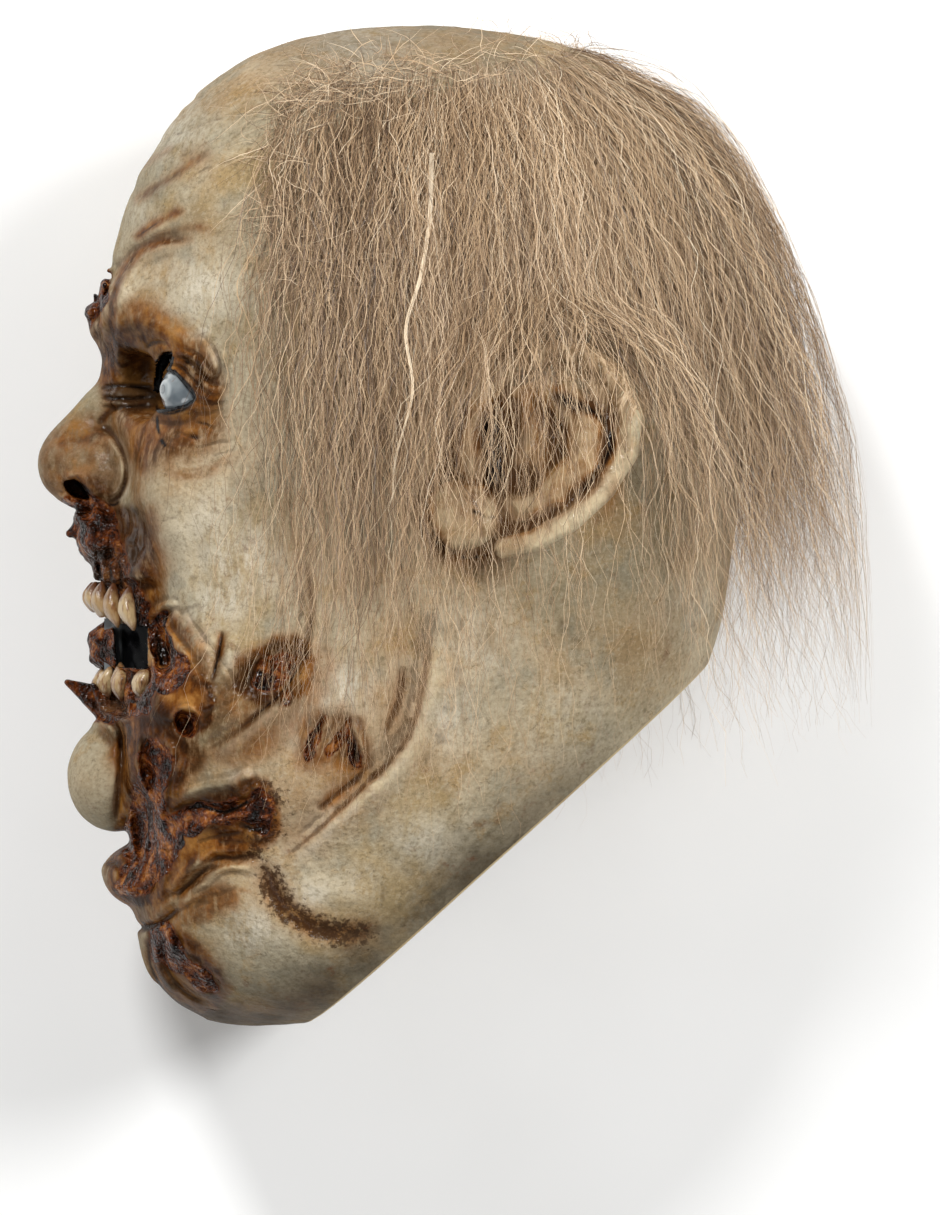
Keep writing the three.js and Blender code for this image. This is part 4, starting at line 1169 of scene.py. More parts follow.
def inner_distance(x, y, z):
    """The latex's inside, which follows the large forms loosely."""
    side = np.abs(z - MID)
    distance = head_distance(x, y, side, False)
    distance += FACE_WALL + (WALL - FACE_WALL) * smoothstep(x, -75, -20)
    deepest = np.zeros_like(distance)
    for path, depth in DEEP_CREASES:
        points = [(px, py, 0) for px, py in path]
        away = tube_distance(x, y, 0 * z, points, [0] * len(points))
        deepest = np.maximum(deepest, depth * np.exp(-((away / (2.6 * depth)) ** 2)))
    distance += deepest + 0.8 + 0.4 * fractal(x, y, z, 14, 2, 17)
    for at, radii, blend, turn in THICKER:
        distance = smooth_most(distance, -mass_distance(x, y, side, at, radii, turn), blend)
    distance = np.maximum(distance, WALL - z)
    dent = mass_distance(x, y, z - WALL, (40, 38, 0), (50, 42, 6), EAR_TURN)
    return np.maximum(distance, -dent)


def rim_distance(x, y):
    """How far a point is beyond the plane of the neck rim."""
    return x * math.cos(RIM_ANGLE) + y * math.sin(RIM_ANGLE) - RIM_REACH


def latex_distance(x, y, z):
    """The latex as if it were solid, but with the slits that the wearer looks through."""
    distance = outer_distance(x, y, z)
    side = np.abs(z - MID)
    spots = (np.abs(x + 98) < 14) & (np.abs(y - 74) < 16) & (side > 20) & (side < 80)
    if spots.any():
        across, down = photo_place(x[spots], y[spots], z[spots])
        slit = polygon_distance(across, down, EYE_SLIT) * VIEW_PIXEL
        slit = np.maximum(slit, 22 - side[spots])
        distance[spots] = smooth_most(distance[spots], -slit, 0.8)
    distance = np.maximum(distance, rim_distance(x, y) - 3)
    return np.maximum(distance, FLOOR_GAP - z)


def cavity_distance(x, y, z):
    """The space inside, which runs on past the neck rim."""
    return np.maximum(inner_distance(x, y, z), rim_distance(x, y) - 3)


def spaced(low, high, step_at):
    """Grid lines whose spacing depends on the place."""
    places = [low]
    while places[-1] < high:
        places.append(places[-1] + step_at(places[-1]))
    return np.array(places, np.float32)


GRID_BLOCK = 4
CORNERS = [(a, b, c) for a in (0, 1) for b in (0, 1) for c in (0, 1)]


def field_values(field, axes):
    """A field at a grid's points, worked out in full only in the blocks that its surface may cross."""
    block = GRID_BLOCK
    blocks = [a.reshape(-1, block) for a in axes]
    middles = [b.mean(1) for b in blocks]
    spans = [np.ptp(b, axis=1) * block / (block - 1) for b in blocks]
    middle_points = np.stack([v.ravel() for v in np.meshgrid(*middles, indexing="ij")], 1)
    sx, sy, sz = (v.ravel() for v in np.meshgrid(*spans, indexing="ij"))
    reach = np.sqrt(sx**2 + sy**2 + sz**2) * 0.5 * 1.25 + 2.2
    coarse = in_chunks(field, middle_points, 150000)
    counts = [len(m) for m in middles]
    values = np.where(coarse < 0, -9, 9).astype(np.float32).reshape(counts)
    values = values.repeat(block, 0).repeat(block, 1).repeat(block, 2)
    cells = np.argwhere((np.abs(coarse) < reach).reshape(counts))
    local = np.indices((block,) * 3).reshape(3, -1).T
    for start in range(0, len(cells), 2500):
        i, j, k = (cells[start : start + 2500, None] * block + local).reshape(-1, 3).T
        values[i, j, k] = field(axes[0][i], axes[1][j], axes[2][k])
    return values


def crossing_points(values, axes, cells):
    """For each cell the mean of the places where the surface crosses its edges."""
    sums = np.zeros((len(cells), 3))
    hits = np.zeros(len(cells))
    corners = {
        (a, b, c): values[cells[:, 0] + a, cells[:, 1] + b, cells[:, 2] + c] for a, b, c in CORNERS
    }
    for axis in range(3):
        for one in (0, 1):
            for two in (0, 1):
                low = [one, two]
                low.insert(axis, 0)
                high = list(low)
                high[axis] = 1
                va, vb = corners[tuple(low)], corners[tuple(high)]
                cross = (va < 0) != (vb < 0)
                share = np.where(cross, va / np.where(cross, va - vb, 1), 0)
                point = np.repeat([low], len(cells), 0).astype(float)
                point[:, axis] = share
                sums += point * cross[:, None]
                hits += cross
    local = sums / hits[:, None]
    points = np.empty((len(cells), 3))
    for axis in range(3):
        base = axes[axis][cells[:, axis]]
        points[:, axis] = base + local[:, axis] * (axes[axis][cells[:, axis] + 1] - base)
    return points


def crossing_quads(inside, index):
    """A quad round each grid edge that the surface crosses, from the cells' point numbers."""
    quads = []
    for axis in range(3):
        one, two = (a for a in range(3) if a != axis)
        here = np.argwhere(np.diff(inside.astype(np.int8), axis=axis) != 0)
        keep = (here[:, one] > 0) & (here[:, two] > 0)
        for a in range(3):
            keep &= here[:, a] < index.shape[a]
        here = here[keep]
        around = []
        for back_one, back_two in ((1, 1), (0, 1), (0, 0), (1, 0)):
            spot = here.copy()
            spot[:, one] -= back_one
            spot[:, two] -= back_two
            around.append(index[spot[:, 0], spot[:, 1], spot[:, 2]])
        faces = np.stack(around, 1)
        leaves = inside[here[:, 0], here[:, 1], here[:, 2]]
        flip = leaves if axis == 1 else ~leaves
        faces[flip] = faces[flip][:, ::-1]
        quads.append(faces)
    quads = np.concatenate(quads)
    return quads[(quads >= 0).all(1)]


def net_surface(field, axes):
    """A quad mesh of where a distance field is zero, on a grid whose lines may be unevenly spaced."""
    block = GRID_BLOCK
    axes = [np.append(a, a[-1] + np.arange(1, 1 + (-len(a)) % block) * (a[-1] - a[-2])) for a in axes]
    values = field_values(field, axes)
    inside = values < 0
    nx, ny, nz = (len(a) - 1 for a in axes)
    total = np.zeros((nx, ny, nz), np.int8)
    for a, b, c in CORNERS:
        total += inside[a : nx + a, b : ny + b, c : nz + c]
    mixed = (total > 0) & (total < 8)
    cells = np.argwhere(mixed)
    index = np.full(mixed.shape, -1, np.int32)
    index[mixed] = np.arange(len(cells))
    return crossing_points(values, axes, cells), crossing_quads(inside, index)


def in_chunks(field, points, size=120000):
    """A field's values at points, worked out for some of them at a time."""
    parts = []
    for start in range(0, len(points), size):
        x, y, z = points[start : start + size].T.astype(np.float32)
        parts.append(field(x, y, z))
    return np.concatenate(parts)


def mesh_object(name, points, faces):
    """A mesh object from points in millimetres and an array of faces with the same number of corners."""
    mesh = bpy.data.meshes.new(name)
    corners = faces.shape[1]
    mesh.vertices.add(len(points))
    mesh.vertices.foreach_set("co", (np.asarray(points, np.float64) * MM).ravel())
    mesh.loops.add(faces.size)
    mesh.loops.foreach_set("vertex_index", faces.ravel().astype(np.int32))
    mesh.polygons.add(len(faces))
    mesh.polygons.foreach_set("loop_start", np.arange(0, faces.size, corners, dtype=np.int32))
    mesh.update(calc_edges=True)
    mesh.validate()
    mesh.polygons.foreach_set("use_smooth", np.ones(len(mesh.polygons), bool))
    made = bpy.data.objects.new(name, mesh)
    bpy.context.scene.collection.objects.link(made)
    return made


def arrays_of(mesh):
    """Points in millimetres and triangles of a Blender mesh."""
    points = np.empty(len(mesh.vertices) * 3)
    mesh.vertices.foreach_get("co", points)
    mesh.calc_loop_triangles()
    triangles = np.empty(len(mesh.loop_triangles) * 3, np.int32)
    mesh.loop_triangles.foreach_get("vertices", triangles)
    return points.reshape(-1, 3) / MM, triangles.reshape(-1, 3)


def thinned(points, quads, ratio, thin_weight):
    """Points and triangles after edge collapse: weight 1 is thinned most."""
    made = mesh_object("thinning", points, quads)
    group = made.vertex_groups.new(name="thin")
    weights = np.round(thin_weight, 1)
    for level in np.unique(weights):
        if level > 0:
            group.add(np.flatnonzero(weights == level).tolist(), float(level), "REPLACE")
    tool = made.modifiers.new("thin", "DECIMATE")
    tool.ratio = ratio
    tool.vertex_group = "thin"
    tool.vertex_group_factor = 1.0
    tool.use_collapse_triangulate = True
    graph = bpy.context.evaluated_depsgraph_get()
    result = bpy.data.meshes.new_from_object(made.evaluated_get(graph))
    arrays = arrays_of(result)
    bpy.data.objects.remove(made)
    bpy.data.meshes.remove(result)
    return arrays


def smoothed(points, edges, rounds):
    """Points after each has moved half way to the mean of its neighbours a number of times."""
    a, b = edges.T
    number = len(points)
    degree = np.bincount(a, minlength=number) + np.bincount(b, minlength=number)
    degree = np.maximum(degree, 1)
    now = points.copy()
    for _ in range(rounds):
        total = np.empty_like(now)
        for axis in range(3):
            column = now[:, axis]
            total[:, axis] = np.bincount(a, column[b], number) + np.bincount(b, column[a], number)
        now = 0.5 * now + 0.5 * total / degree[:, None]
    return now


def edges_of(triangles):
    pairs = np.concatenate([triangles[:, [0, 1]], triangles[:, [1, 2]], triangles[:, [2, 0]]])
    return np.unique(np.sort(pairs, axis=1), axis=0)


def vertex_normals(points, triangles):
    a, b, c = (points[triangles[:, i]] for i in range(3))
    face = np.cross(b - a, c - a)
    normals = np.zeros_like(points)
    for corner in range(3):
        for axis in range(3):
            normals[:, axis] += np.bincount(triangles[:, corner], face[:, axis], len(points))
    return normals / np.maximum(np.linalg.norm(normals, axis=1), 1e-12)[:, None]


def give(mesh, name, values):
    """Stores one number for each point of a mesh."""
    layer = mesh.attributes.new(name, "FLOAT", "POINT")
    layer.data.foreach_set("value", np.asarray(values, np.float32))


NECK_NORMAL = (math.cos(RIM_ANGLE), math.sin(RIM_ANGLE), 0)


def settle(field, points, most):
    """Moves points onto a field's surface, each by no more than most."""
    step = 0.3
    base = in_chunks(field, points)
    slope = np.empty_like(points)
    for axis in range(3):
        ahead = points.copy()
        ahead[:, axis] += step
        slope[:, axis] = (in_chunks(field, ahead) - base) / step
    push = base[:, None] * slope / np.maximum((slope**2).sum(1), 0.3)[:, None]
    length = np.linalg.norm(push, axis=1, keepdims=True)
    return points - push * np.minimum(1, most / np.maximum(length, 1e-9))


def split_quads(quads):
    return np.concatenate([quads[:, [0, 1, 2]], quads[:, [0, 2, 3]]])


def make_outside():
    """The latex's outside, with finer faces on the face and on the left side."""
    fine, plain = ((0.85, 1.7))
    axes = [
        spaced(-153.0, 116.0, lambda x: fine + (plain - fine) * smoothstep(x, -45, 10)),
        spaced(-178.5, 204.0, lambda y: fine * 1.15),
        spaced(-2.5, 246.0, lambda z: plain - (plain - fine) * smoothstep(z, MID - 30, MID - 4)),
    ]
    points, quads = net_surface(latex_distance, axes)
    points = settle(latex_distance, points, 0.8 * fine)
    weight = np.maximum(0.12, 0.7 * smoothstep(points[:, 0], -50, 0))
    weight = np.maximum(weight, 0.8 * (1 - smoothstep(points[:, 2], MID - 20, MID)))
    points, triangles = thinned(points, quads, 0.40, weight)
    points = settle(latex_distance, points, 0.3)
    points[:, 2] = np.maximum(points[:, 2], FLOOR_GAP)
    return points, triangles


def cut_at_rim(points, triangles):
    """The part of a surface on the head's side of the neck rim."""
    made = mesh_object("cutting", points, triangles)
    work = bmesh.new()
    work.from_mesh(made.data)
    on_plane = tuple(v * RIM_REACH * MM for v in NECK_NORMAL)
    everything = work.verts[:] + work.edges[:] + work.faces[:]
    bmesh.ops.bisect_plane(work, geom=everything, plane_co=on_plane, plane_no=NECK_NORMAL, clear_outer=True)
    bmesh.ops.triangulate(work, faces=work.faces[:])
    work.to_mesh(made.data)
    work.free()
    arrays = arrays_of(made.data)
    bpy.data.objects.remove(made)
    return arrays


def hairy_share(across, down):
    """Where fine hair is painted on the latex under the loose strands, thinner on the ear and in front."""
    border = polygon_distance(across, down, HAIR_ROOTS) * VIEW_PIXEL
    ends = np.interp(across, *np.array(HAIR_ENDS, float).T)
    hairy = (1 - smoothstep(border, -22, 2)) + smoothstep(down, 230, 330) * smoothstep(across, 290, 400)
    hairy = np.clip(hairy, 0, 0.9) * (1 - smoothstep(down, ends - 330, ends - 60))
    hairy *= 0.15 + 0.85 * smoothstep(across, 280, 400)
    ear = polygon_distance(across, down, EAR_AREA) * VIEW_PIXEL
    return hairy * (0.2 + 0.8 * smoothstep(ear, -5, 12))


def black_share(x, y, side, across, down):
    """Black in the slits, behind the mouth and on the lids' edges: painted shade in the eye slits and in the
    gap beside the eyeball, black paint behind the mouth and on the lids.
    """
    window = polygon_distance(across, down, MOUTH_WINDOW) * VIEW_PIXEL
    slit = polygon_distance(across, down, EYE_SLIT) * VIEW_PIXEL
    opening = polygon_distance(across, down, EYE_OPENING) * VIEW_PIXEL
    near_ball = eyeball_away(x, y, side) < EYE_RADIUS + 6
    # painted shade: the eye slits and the gap on the nose's side of the eyeball are painted black
    deep = (slit < 0.6) & (side > 20) & (side < 80)
    deep |= (window < 0.4) & (side > 13)
    deep |= (opening < 0.0) & near_ball & (across < 168)
    rim = (1 - smoothstep(np.abs(opening), 0.7, 1.9)) * near_ball
    return np.maximum(deep * 1.0, rim * 0.9)


def latex_paint(points, triangles):
    """All that the latex's material reads, one number for each point, and the points' normals."""
    x, y, z = points.T.astype(np.float32)
    across, down = photo_place(x, y, z)
    edges = edges_of(triangles)
    normals = vertex_normals(points, triangles)
    fine = smoothed(points, edges, 4)
    wide = smoothed(fine, edges, 26)
    paint = {
        "cavity": ((fine - points) * normals).sum(1),
        "hollow": ((wide - points) * normals).sum(1),
        "gore": gore_at(z, across, down),
    }
    for name in ("wash_and_shade", "burnt_and_shade", "ochre", "pale", "dark", "stain", "olive", "grey"):
        paint[name] = drawn(name, across, down)
    # the right side has no wound on its cheek, so the paint round it is thinner there
    cheek = smoothstep(across, 150, 190) * smoothstep(down, 590, 620) * (1 - smoothstep(down, 860, 900))
    paint["wash_and_shade"] = paint["wash_and_shade"] * (1 - 0.6 * cheek * (1 - left_share(z)))
    paint["black"] = black_share(x, y, np.abs(z - MID), across, down)
    paint["shade"] = np.clip(drawn("shade", across, down), 0, 0.8)
    paint["hairy"] = hairy_share(across, down)
    return paint, normals


def part_of(name, points, triangles, chosen, paint, normals):
    """An object made of some of the triangles, shaded as if the whole were one mesh."""
    kept = triangles[chosen]
    used, back = np.unique(kept, return_inverse=True)
    made = mesh_object(name, points[used], back.reshape(-1, 3))
    for key, values in paint.items():
        give(made.data, key, values[used])
    made.data.normals_split_custom_set_from_vertices(normals[used].tolist())
    return made


def rim_curve(field, middle, ways):
    """Where rays from a middle leave a field's inside."""
    low, high = np.full(len(ways), 20.0), np.full(len(ways), 170.0)
    for _ in range(18):
        reach = (low + high) / 2
        spots = (middle + ways * reach[:, None]).astype(np.float32)
        out = np.maximum(field(*spots.T), FLOOR_GAP - spots[:, 2]) > 0
        high, low = np.where(out, reach, high), np.where(out, low, reach)
    return middle + ways * low[:, None]


def rim_piece():
    """The cut edge of the latex round the neck, with its corners rounded off."""
    normal = np.array(NECK_NORMAL)
    middle = normal * RIM_REACH + (0, 0, MID)
    flat = np.array([-normal[1], normal[0], 0])
    middle = middle + flat * float(np.dot(np.array([30, -75, MID]) - middle, flat))
    steps = 360
    turns = np.linspace(0, 2 * math.pi, steps, False)
    ways = np.array([math.cos(t) * flat + math.sin(t) * np.array([0, 0, 1]) for t in turns])
    outside = rim_curve(outer_distance, middle, ways)
    inside = rim_curve(inner_distance, middle, ways)
    rings = [
        outside,
        outside * 0.85 + inside * 0.15 + 0.5 * normal,
        (outside + inside) / 2 + 0.7 * normal,
        inside * 0.85 + outside * 0.15 + 0.5 * normal,
        inside,
    ]
    here = np.arange(steps)
    there = (here + 1) % steps
    quads = []
    for k in range(len(rings) - 1):
        near_ring, far_ring = k * steps, (k + 1) * steps
        quads.append(np.stack([here + near_ring, there + near_ring, there + far_ring, here + far_ring], 1))
    return mesh_object("mask_rim", np.vstack(rings), np.concatenate(quads))


def inside_mesh():
    """The latex's inside, without the faces that lie in the eye slits."""
    spacing = 4.2
    axes = [spaced(a, b, lambda _: spacing) for a, b in ((-130.0, 120.0), (-176.0, 202.0), (0.0, 220.0))]
    points, quads = net_surface(cavity_distance, axes)
    points = settle(cavity_distance, points, 2.0)
    points, triangles = cut_at_rim(points, split_quads(quads)[:, ::-1])
    x, y, z = points[triangles].mean(1).T.astype(np.float32)
    gap = polygon_distance(*photo_place(x, y, z), EYE_SLIT) * VIEW_PIXEL
    shut = (gap > 0.3) | (np.abs(z - MID) < 20) | (x > -60)
    return mesh_object("mask_inside", points, triangles[shut])


latex_points, latex_triangles = cut_at_rim(*make_outside())
latex_values, latex_normals = latex_paint(latex_points, latex_triangles)
middles = latex_points[latex_triangles].mean(1)
kept = ~(in_chunks(inner_distance, middles) < -0.8)
is_face = (middles[:, 0] < -25) & (middles[:, 2] > MID - 25)
is_upper = middles[:, 1] > -12
areas = {"mask_brow": is_face & is_upper, "mask_jaw": is_face & ~is_upper, "mask_head": ~is_face}
skin_pieces = [
    part_of(name, latex_points, latex_triangles, area & kept, latex_values, latex_normals)
    for name, area in areas.items()
]
inside_piece = inside_mesh()
rim = rim_piece()


# Materials


def srgb(*levels):
    """A colour given by its 0 to 255 levels, as linear light."""
    made = [v / 255 / 12.92 if v <= 10 else ((v / 255 + 0.055) / 1.055) ** 2.4 for v in levels]
    return (*made, 1.0)


class Paintwork:
    """A material whose nodes are made by short calls. An input is a number, a colour or an output."""

    def __init__(self, name):
        self.material = bpy.data.materials.new(name)
        self.material.use_nodes = True
        self.tree = self.material.node_tree
        self.tree.nodes.clear()
        self.place = self.node("ShaderNodeTexCoord").outputs["Object"]

    def node(self, kind, inputs=None, **settings):
        made = self.tree.nodes.new(kind)
        for key, value in settings.items():
            setattr(made, key, value)
        for key, value in (inputs or {}).items():
            if isinstance(value, bpy.types.NodeSocket):
                self.tree.links.new(value, made.inputs[key])
            else:
                made.inputs[key].default_value = value
        return made

    def value(self, name):
        """A number that the mesh carries at each of its points."""
        return self.node("ShaderNodeAttribute", attribute_name=name).outputs["Fac"]

    def noise(self, size, detail=3.0, rough=0.55, stretch=None, distortion=0.0):
        """Noise from 0 to 1 whose features are about size millimetres wide."""
        place = self.place
        if stretch:
            place = self.node("ShaderNodeMapping", {"Vector": place, "Scale": stretch}).outputs[0]
        inputs = {"Vector": place, "Scale": 500.0 / size, "Detail": detail, "Roughness": rough}
        inputs["Distortion"] = distortion
        return self.node("ShaderNodeTexNoise", inputs).outputs["Fac"]

    def swayed(self, scale, detail, reach):
        """The place pushed about by slow noise, by up to reach metres."""
        inputs = {"Vector": self.place, "Scale": scale, "Detail": detail}
        away = self.node("ShaderNodeTexNoise", inputs).outputs["Color"]
        away = self.node("ShaderNodeVectorMath", {0: away, 3: reach}, operation="SCALE").outputs[0]
        return self.node("ShaderNodeVectorMath", {0: self.place, 1: away}, operation="ADD").outputs[0]

    def threads(self, place, size, long):
        """Noise drawn out along Y into threads about size millimetres wide."""
        place = self.node("ShaderNodeMapping", {"Vector": place, "Scale": (1, long, 1)}).outputs[0]
        inputs = {"Vector": place, "Scale": 500.0 / size, "Detail": 2.0, "Roughness": 0.6}
        return self.node("ShaderNodeTexNoise", inputs).outputs["Fac"]

    def cells(self, size, feature="F1", place=None):
        """Distances in a pattern of cells about size millimetres wide."""
        inputs = {"Vector": place or self.place, "Scale": 1000.0 / size}
        return self.node("ShaderNodeTexVoronoi", inputs, feature=feature).outputs["Distance"]

    def math(self, operation, a, b=0.0, clamp=False):
        return self.node("ShaderNodeMath", {0: a, 1: b}, operation=operation, use_clamp=clamp).outputs[0]

    def add(self, a, b):
        return self.math("ADD", a, b)

    def times(self, a, b, clamp=False):
        return self.math("MULTIPLY", a, b, clamp)

    def swing(self, value, strength):
        """A noise turned into a number round zero."""
        return self.times(self.math("SUBTRACT", value, 0.5), strength)

    def span(self, value, low, high, to_low=0.0, to_high=1.0):
        """value taken from low..high to to_low..to_high, smoothly and clamped."""
        inputs = {"Value": value, "From Min": low, "From Max": high, "To Min": to_low, "To Max": to_high}
        return self.node("ShaderNodeMapRange", inputs, interpolation_type="SMOOTHSTEP").outputs[0]

    def mix(self, a, b, share, blend="MIX"):
        """A colour between two others: sockets 0, 6 and 7 are the share and the two colours."""
        made = self.node("ShaderNodeMix", data_type="RGBA", blend_type=blend)
        for socket, value in ((made.inputs[0], share), (made.inputs[6], a), (made.inputs[7], b)):
            if isinstance(value, bpy.types.NodeSocket):
                self.tree.links.new(value, socket)
            else:
                socket.default_value = value
        return made.outputs[2]

    def ramp(self, value, stops):
        """A colour by a value, from stops of place and colour."""
        made = self.node("ShaderNodeValToRGB", {"Fac": value})
        band = made.color_ramp
        while len(band.elements) < len(stops):
            band.elements.new(0.5)
        for element, (at, colour) in zip(band.elements, stops):
            element.position = at
            element.color = colour
        return made.outputs["Color"]

    def bump(self, height, deep):
        """A normal tilted by a height, which is deep millimetres where it is 1."""
        inputs = {"Height": height, "Distance": deep * MM, "Strength": 1.0}
        return self.node("ShaderNodeBump", inputs).outputs[0]

    def finish(self, **inputs):
        """The material, with inputs named as the shader's sockets."""
        sockets = {key.replace("_", " "): value for key, value in inputs.items()}
        shader = self.node("ShaderNodeBsdfPrincipled", sockets)
        out = self.node("ShaderNodeOutputMaterial")
        self.tree.links.new(shader.outputs[0], out.inputs[0])
        return self.material


class LatexPaintwork(Paintwork):
    """The latex's material, with the noises that several coats of paint share."""

    def __init__(self):
        super().__init__("painted_latex")
        self.soft = self.noise(38, 3)
        self.middle = self.noise(12, 4, 0.6)
        self.small = self.noise(3.4, 4, 0.62)
        self.grain = self.noise(1.3, 3, 0.65)
        self.fibres = self.noise(4, 4, 0.7, stretch=(2.2, 0.7, 1.4))
        self.dots = self.noise(0.9, 3, 0.7)


def bone_coat(art):
    """Bone over olive grey, dabbed with a sponge, with pale paint that is partly painted highlight."""
    base = art.mix(srgb(182, 169, 143), srgb(150, 138, 112), art.span(art.soft, 0.36, 0.66))
    base = art.mix(base, srgb(132, 125, 104), art.span(art.middle, 0.48, 0.70, 0, 0.65))
    olive = art.times(art.value("olive"), art.span(art.small, 0.34, 0.62))
    base = art.mix(base, srgb(92, 88, 68), art.times(olive, 0.75))
    warm = art.times(art.value("ochre"), art.span(art.middle, 0.28, 0.64, 0.35, 1.0))
    base = art.mix(base, srgb(156, 112, 54), art.times(warm, 0.85))
    dabs = art.span(art.noise(7, 4, 0.7), 0.54, 0.66, 0, 0.42)
    base = art.mix(base, srgb(158, 124, 70), dabs)
    cool = art.span(art.noise(15, 4, 0.66), 0.52, 0.66, 0, 0.5)
    base = art.mix(base, srgb(126, 124, 108), cool)
    golden = art.span(art.noise(24, 4, 0.6), 0.52, 0.66, 0, 0.5)
    base = art.mix(base, srgb(166, 136, 84), golden)
    # pale paint, partly painted highlight
    pale = art.times(art.value("pale"), art.span(art.fibres, 0.36, 0.60, 0.15, 1.0))
    base = art.mix(base, srgb(200, 191, 172), art.times(pale, 0.85))
    return base


def specks_and_cracks(art, base):
    """Dark specks, scribbled cracks and short dark scribbles."""
    specks = art.times(art.span(art.grain, 0.57, 0.70), art.span(art.middle, 0.36, 0.6, 0.2, 1.0))
    base = art.mix(base, srgb(92, 80, 58), art.times(specks, 0.48))
    base = art.mix(base, srgb(112, 98, 72), art.span(art.dots, 0.51, 0.65, 0, 0.38))
    base = art.mix(base, srgb(204, 194, 170), art.span(art.dots, 0.47, 0.36, 0, 0.2))
    cracks = art.span(art.cells(4.2, "DISTANCE_TO_EDGE", art.swayed(190.0, 3.0, 0.009)), 0.05, 0.005)
    cracks = art.times(cracks, art.span(art.noise(3.5, 4, 0.6), 0.57, 0.64))
    base = art.mix(base, srgb(88, 74, 54), art.times(cracks, 0.45))
    level = art.math("ABSOLUTE", art.math("SUBTRACT", art.noise(5, 3, 0.65), 0.5))
    scribble = art.times(art.span(level, 0.010, 0.003), art.span(art.noise(5, 3, 0.6), 0.52, 0.60))
    base = art.mix(base, srgb(86, 68, 46), art.times(scribble, 0.6))
    return base


def washes_and_shade(art, base):
    """Brown paint gathered in the hollows and rubbed off the ridges, and painted shade: the colour, and how
    much brown there is.
    """
    cavity = art.span(art.value("cavity"), 0.01, 0.13)
    hollow = art.span(art.value("hollow"), 0.12, 1.3)
    ridge = art.span(art.value("hollow"), -0.2, -1.3)
    brown = art.ramp(art.add(art.middle, art.swing(art.small, 0.5)), [
        (0.36, srgb(26, 12, 4)), (0.46, srgb(66, 34, 11)), (0.54, srgb(112, 66, 24)),
        (0.66, srgb(160, 112, 56)),
    ])
    wash_and_shade = art.times(art.value("wash_and_shade"), art.span(art.fibres, 0.30, 0.56, 0.6, 1.2), clamp=True)
    base = art.mix(base, srgb(198, 140, 70), wash_and_shade, "MULTIPLY")
    base = art.mix(base, brown, art.times(wash_and_shade, art.span(wash_and_shade, 0.1, 1.0, 0.15, 0.92)))
    # almost black paint, and painted shade under the chin
    burnt_and_shade = art.times(art.value("burnt_and_shade"), art.span(art.small, 0.30, 0.62, 1.1, 0.7), clamp=True)
    base = art.mix(base, srgb(42, 20, 5), burnt_and_shade)
    # brown gathered in the hollows, and painted shade there: hollows darken a little even where no brown is
    # painted
    caught_paint_and_shade = art.times(hollow, art.span(art.value("wash_and_shade"), 0.0, 0.5, 0.25, 0.9))
    base = art.mix(base, srgb(66, 38, 17), caught_paint_and_shade)
    # painted shade in the fine creases, with some brown gathered there
    base = art.mix(base, srgb(60, 42, 26), art.times(cavity, 0.45))
    rubbed = art.times(ridge, art.span(art.small, 0.35, 0.6, 0.3, 1.0))
    rubbed = art.times(rubbed, art.span(wash_and_shade, 0.3, 0.9, 0.5, 0.12))
    base = art.mix(base, srgb(200, 184, 150), rubbed)
    spatter = art.add(art.value("stain"), art.swing(art.noise(1.2, 3, 0.7), 2.4))
    spatter = art.times(art.span(spatter, 0.55, 1.0), art.span(art.value("stain"), 0.05, 0.3))
    base = art.mix(base, srgb(50, 28, 13), art.times(spatter, 0.85))
    shade = art.times(art.value("shade"), art.span(art.middle, 0.34, 0.62, 1.15, 0.8), clamp=True)
    base = art.mix(base, srgb(58, 49, 38), shade)
    return base, wash_and_shade


def flat_hair(art, base):
    """Fine hair that lies flat on the latex, under the loose strands, with painted shade in the gaps between
    them.
    """
    swept = art.swayed(22.0, 1.0, 0.03)
    threads = [art.threads(swept, size, long) for size, long in ((0.55, 0.02), (1.6, 0.035))]
    thread = art.add(art.times(threads[0], 0.6), art.times(threads[1], 0.4))
    # the dark end of this ramp is painted shade in the gaps under the loose hair
    hairs = art.ramp(thread, [
        (0.32, srgb(62, 46, 32)), (0.45, srgb(106, 84, 60)), (0.54, srgb(150, 124, 94)),
        (0.66, srgb(198, 174, 142)),
    ])
    shown = art.add(art.value("hairy"), art.swing(thread, 2.4))
    shown = art.times(art.span(shown, 0.42, 0.62), art.span(art.value("hairy"), 0.0, 0.15))
    base = art.mix(base, hairs, art.times(shown, 0.92))
    return base


def wounds(art, base):
    """Bare flesh, shiny grey folds, black lines and openings: the colour, the flesh and the openings."""
    ragged = art.swing(art.noise(4.5, 5, 0.7), 1.5)
    edge = art.add(art.value("gore"), ragged)
    wound = art.span(edge, 0.40, 0.60)
    around = art.span(edge, 0.10, 0.5)
    base = art.mix(base, srgb(92, 44, 16), art.times(around, 0.85))
    flesh = art.ramp(art.noise(4.6, 5, 0.7), [
        (0.38, srgb(12, 5, 2)), (0.47, srgb(50, 20, 6)), (0.55, srgb(100, 48, 16)),
        (0.66, srgb(164, 104, 48)),
    ])
    base = art.mix(base, flesh, wound)
    grey = art.times(art.value("grey"), art.span(art.small, 0.3, 0.6, 0.5, 0.95))
    base = art.mix(base, srgb(60, 44, 31), grey)
    dark = art.add(art.value("dark"), art.swing(art.fibres, 0.5))
    dark = art.times(art.span(dark, 0.18, 0.95), art.span(art.value("dark"), 0.0, 0.12))
    base = art.mix(base, art.mix(srgb(58, 36, 20), srgb(16, 11, 8), dark), dark)
    # black paint, with painted shade in the eye slits and beside the eyeballs
    black = art.span(art.value("black"), 0.3, 0.7)
    base = art.mix(base, srgb(8, 7, 8), black)
    return base, wound, black


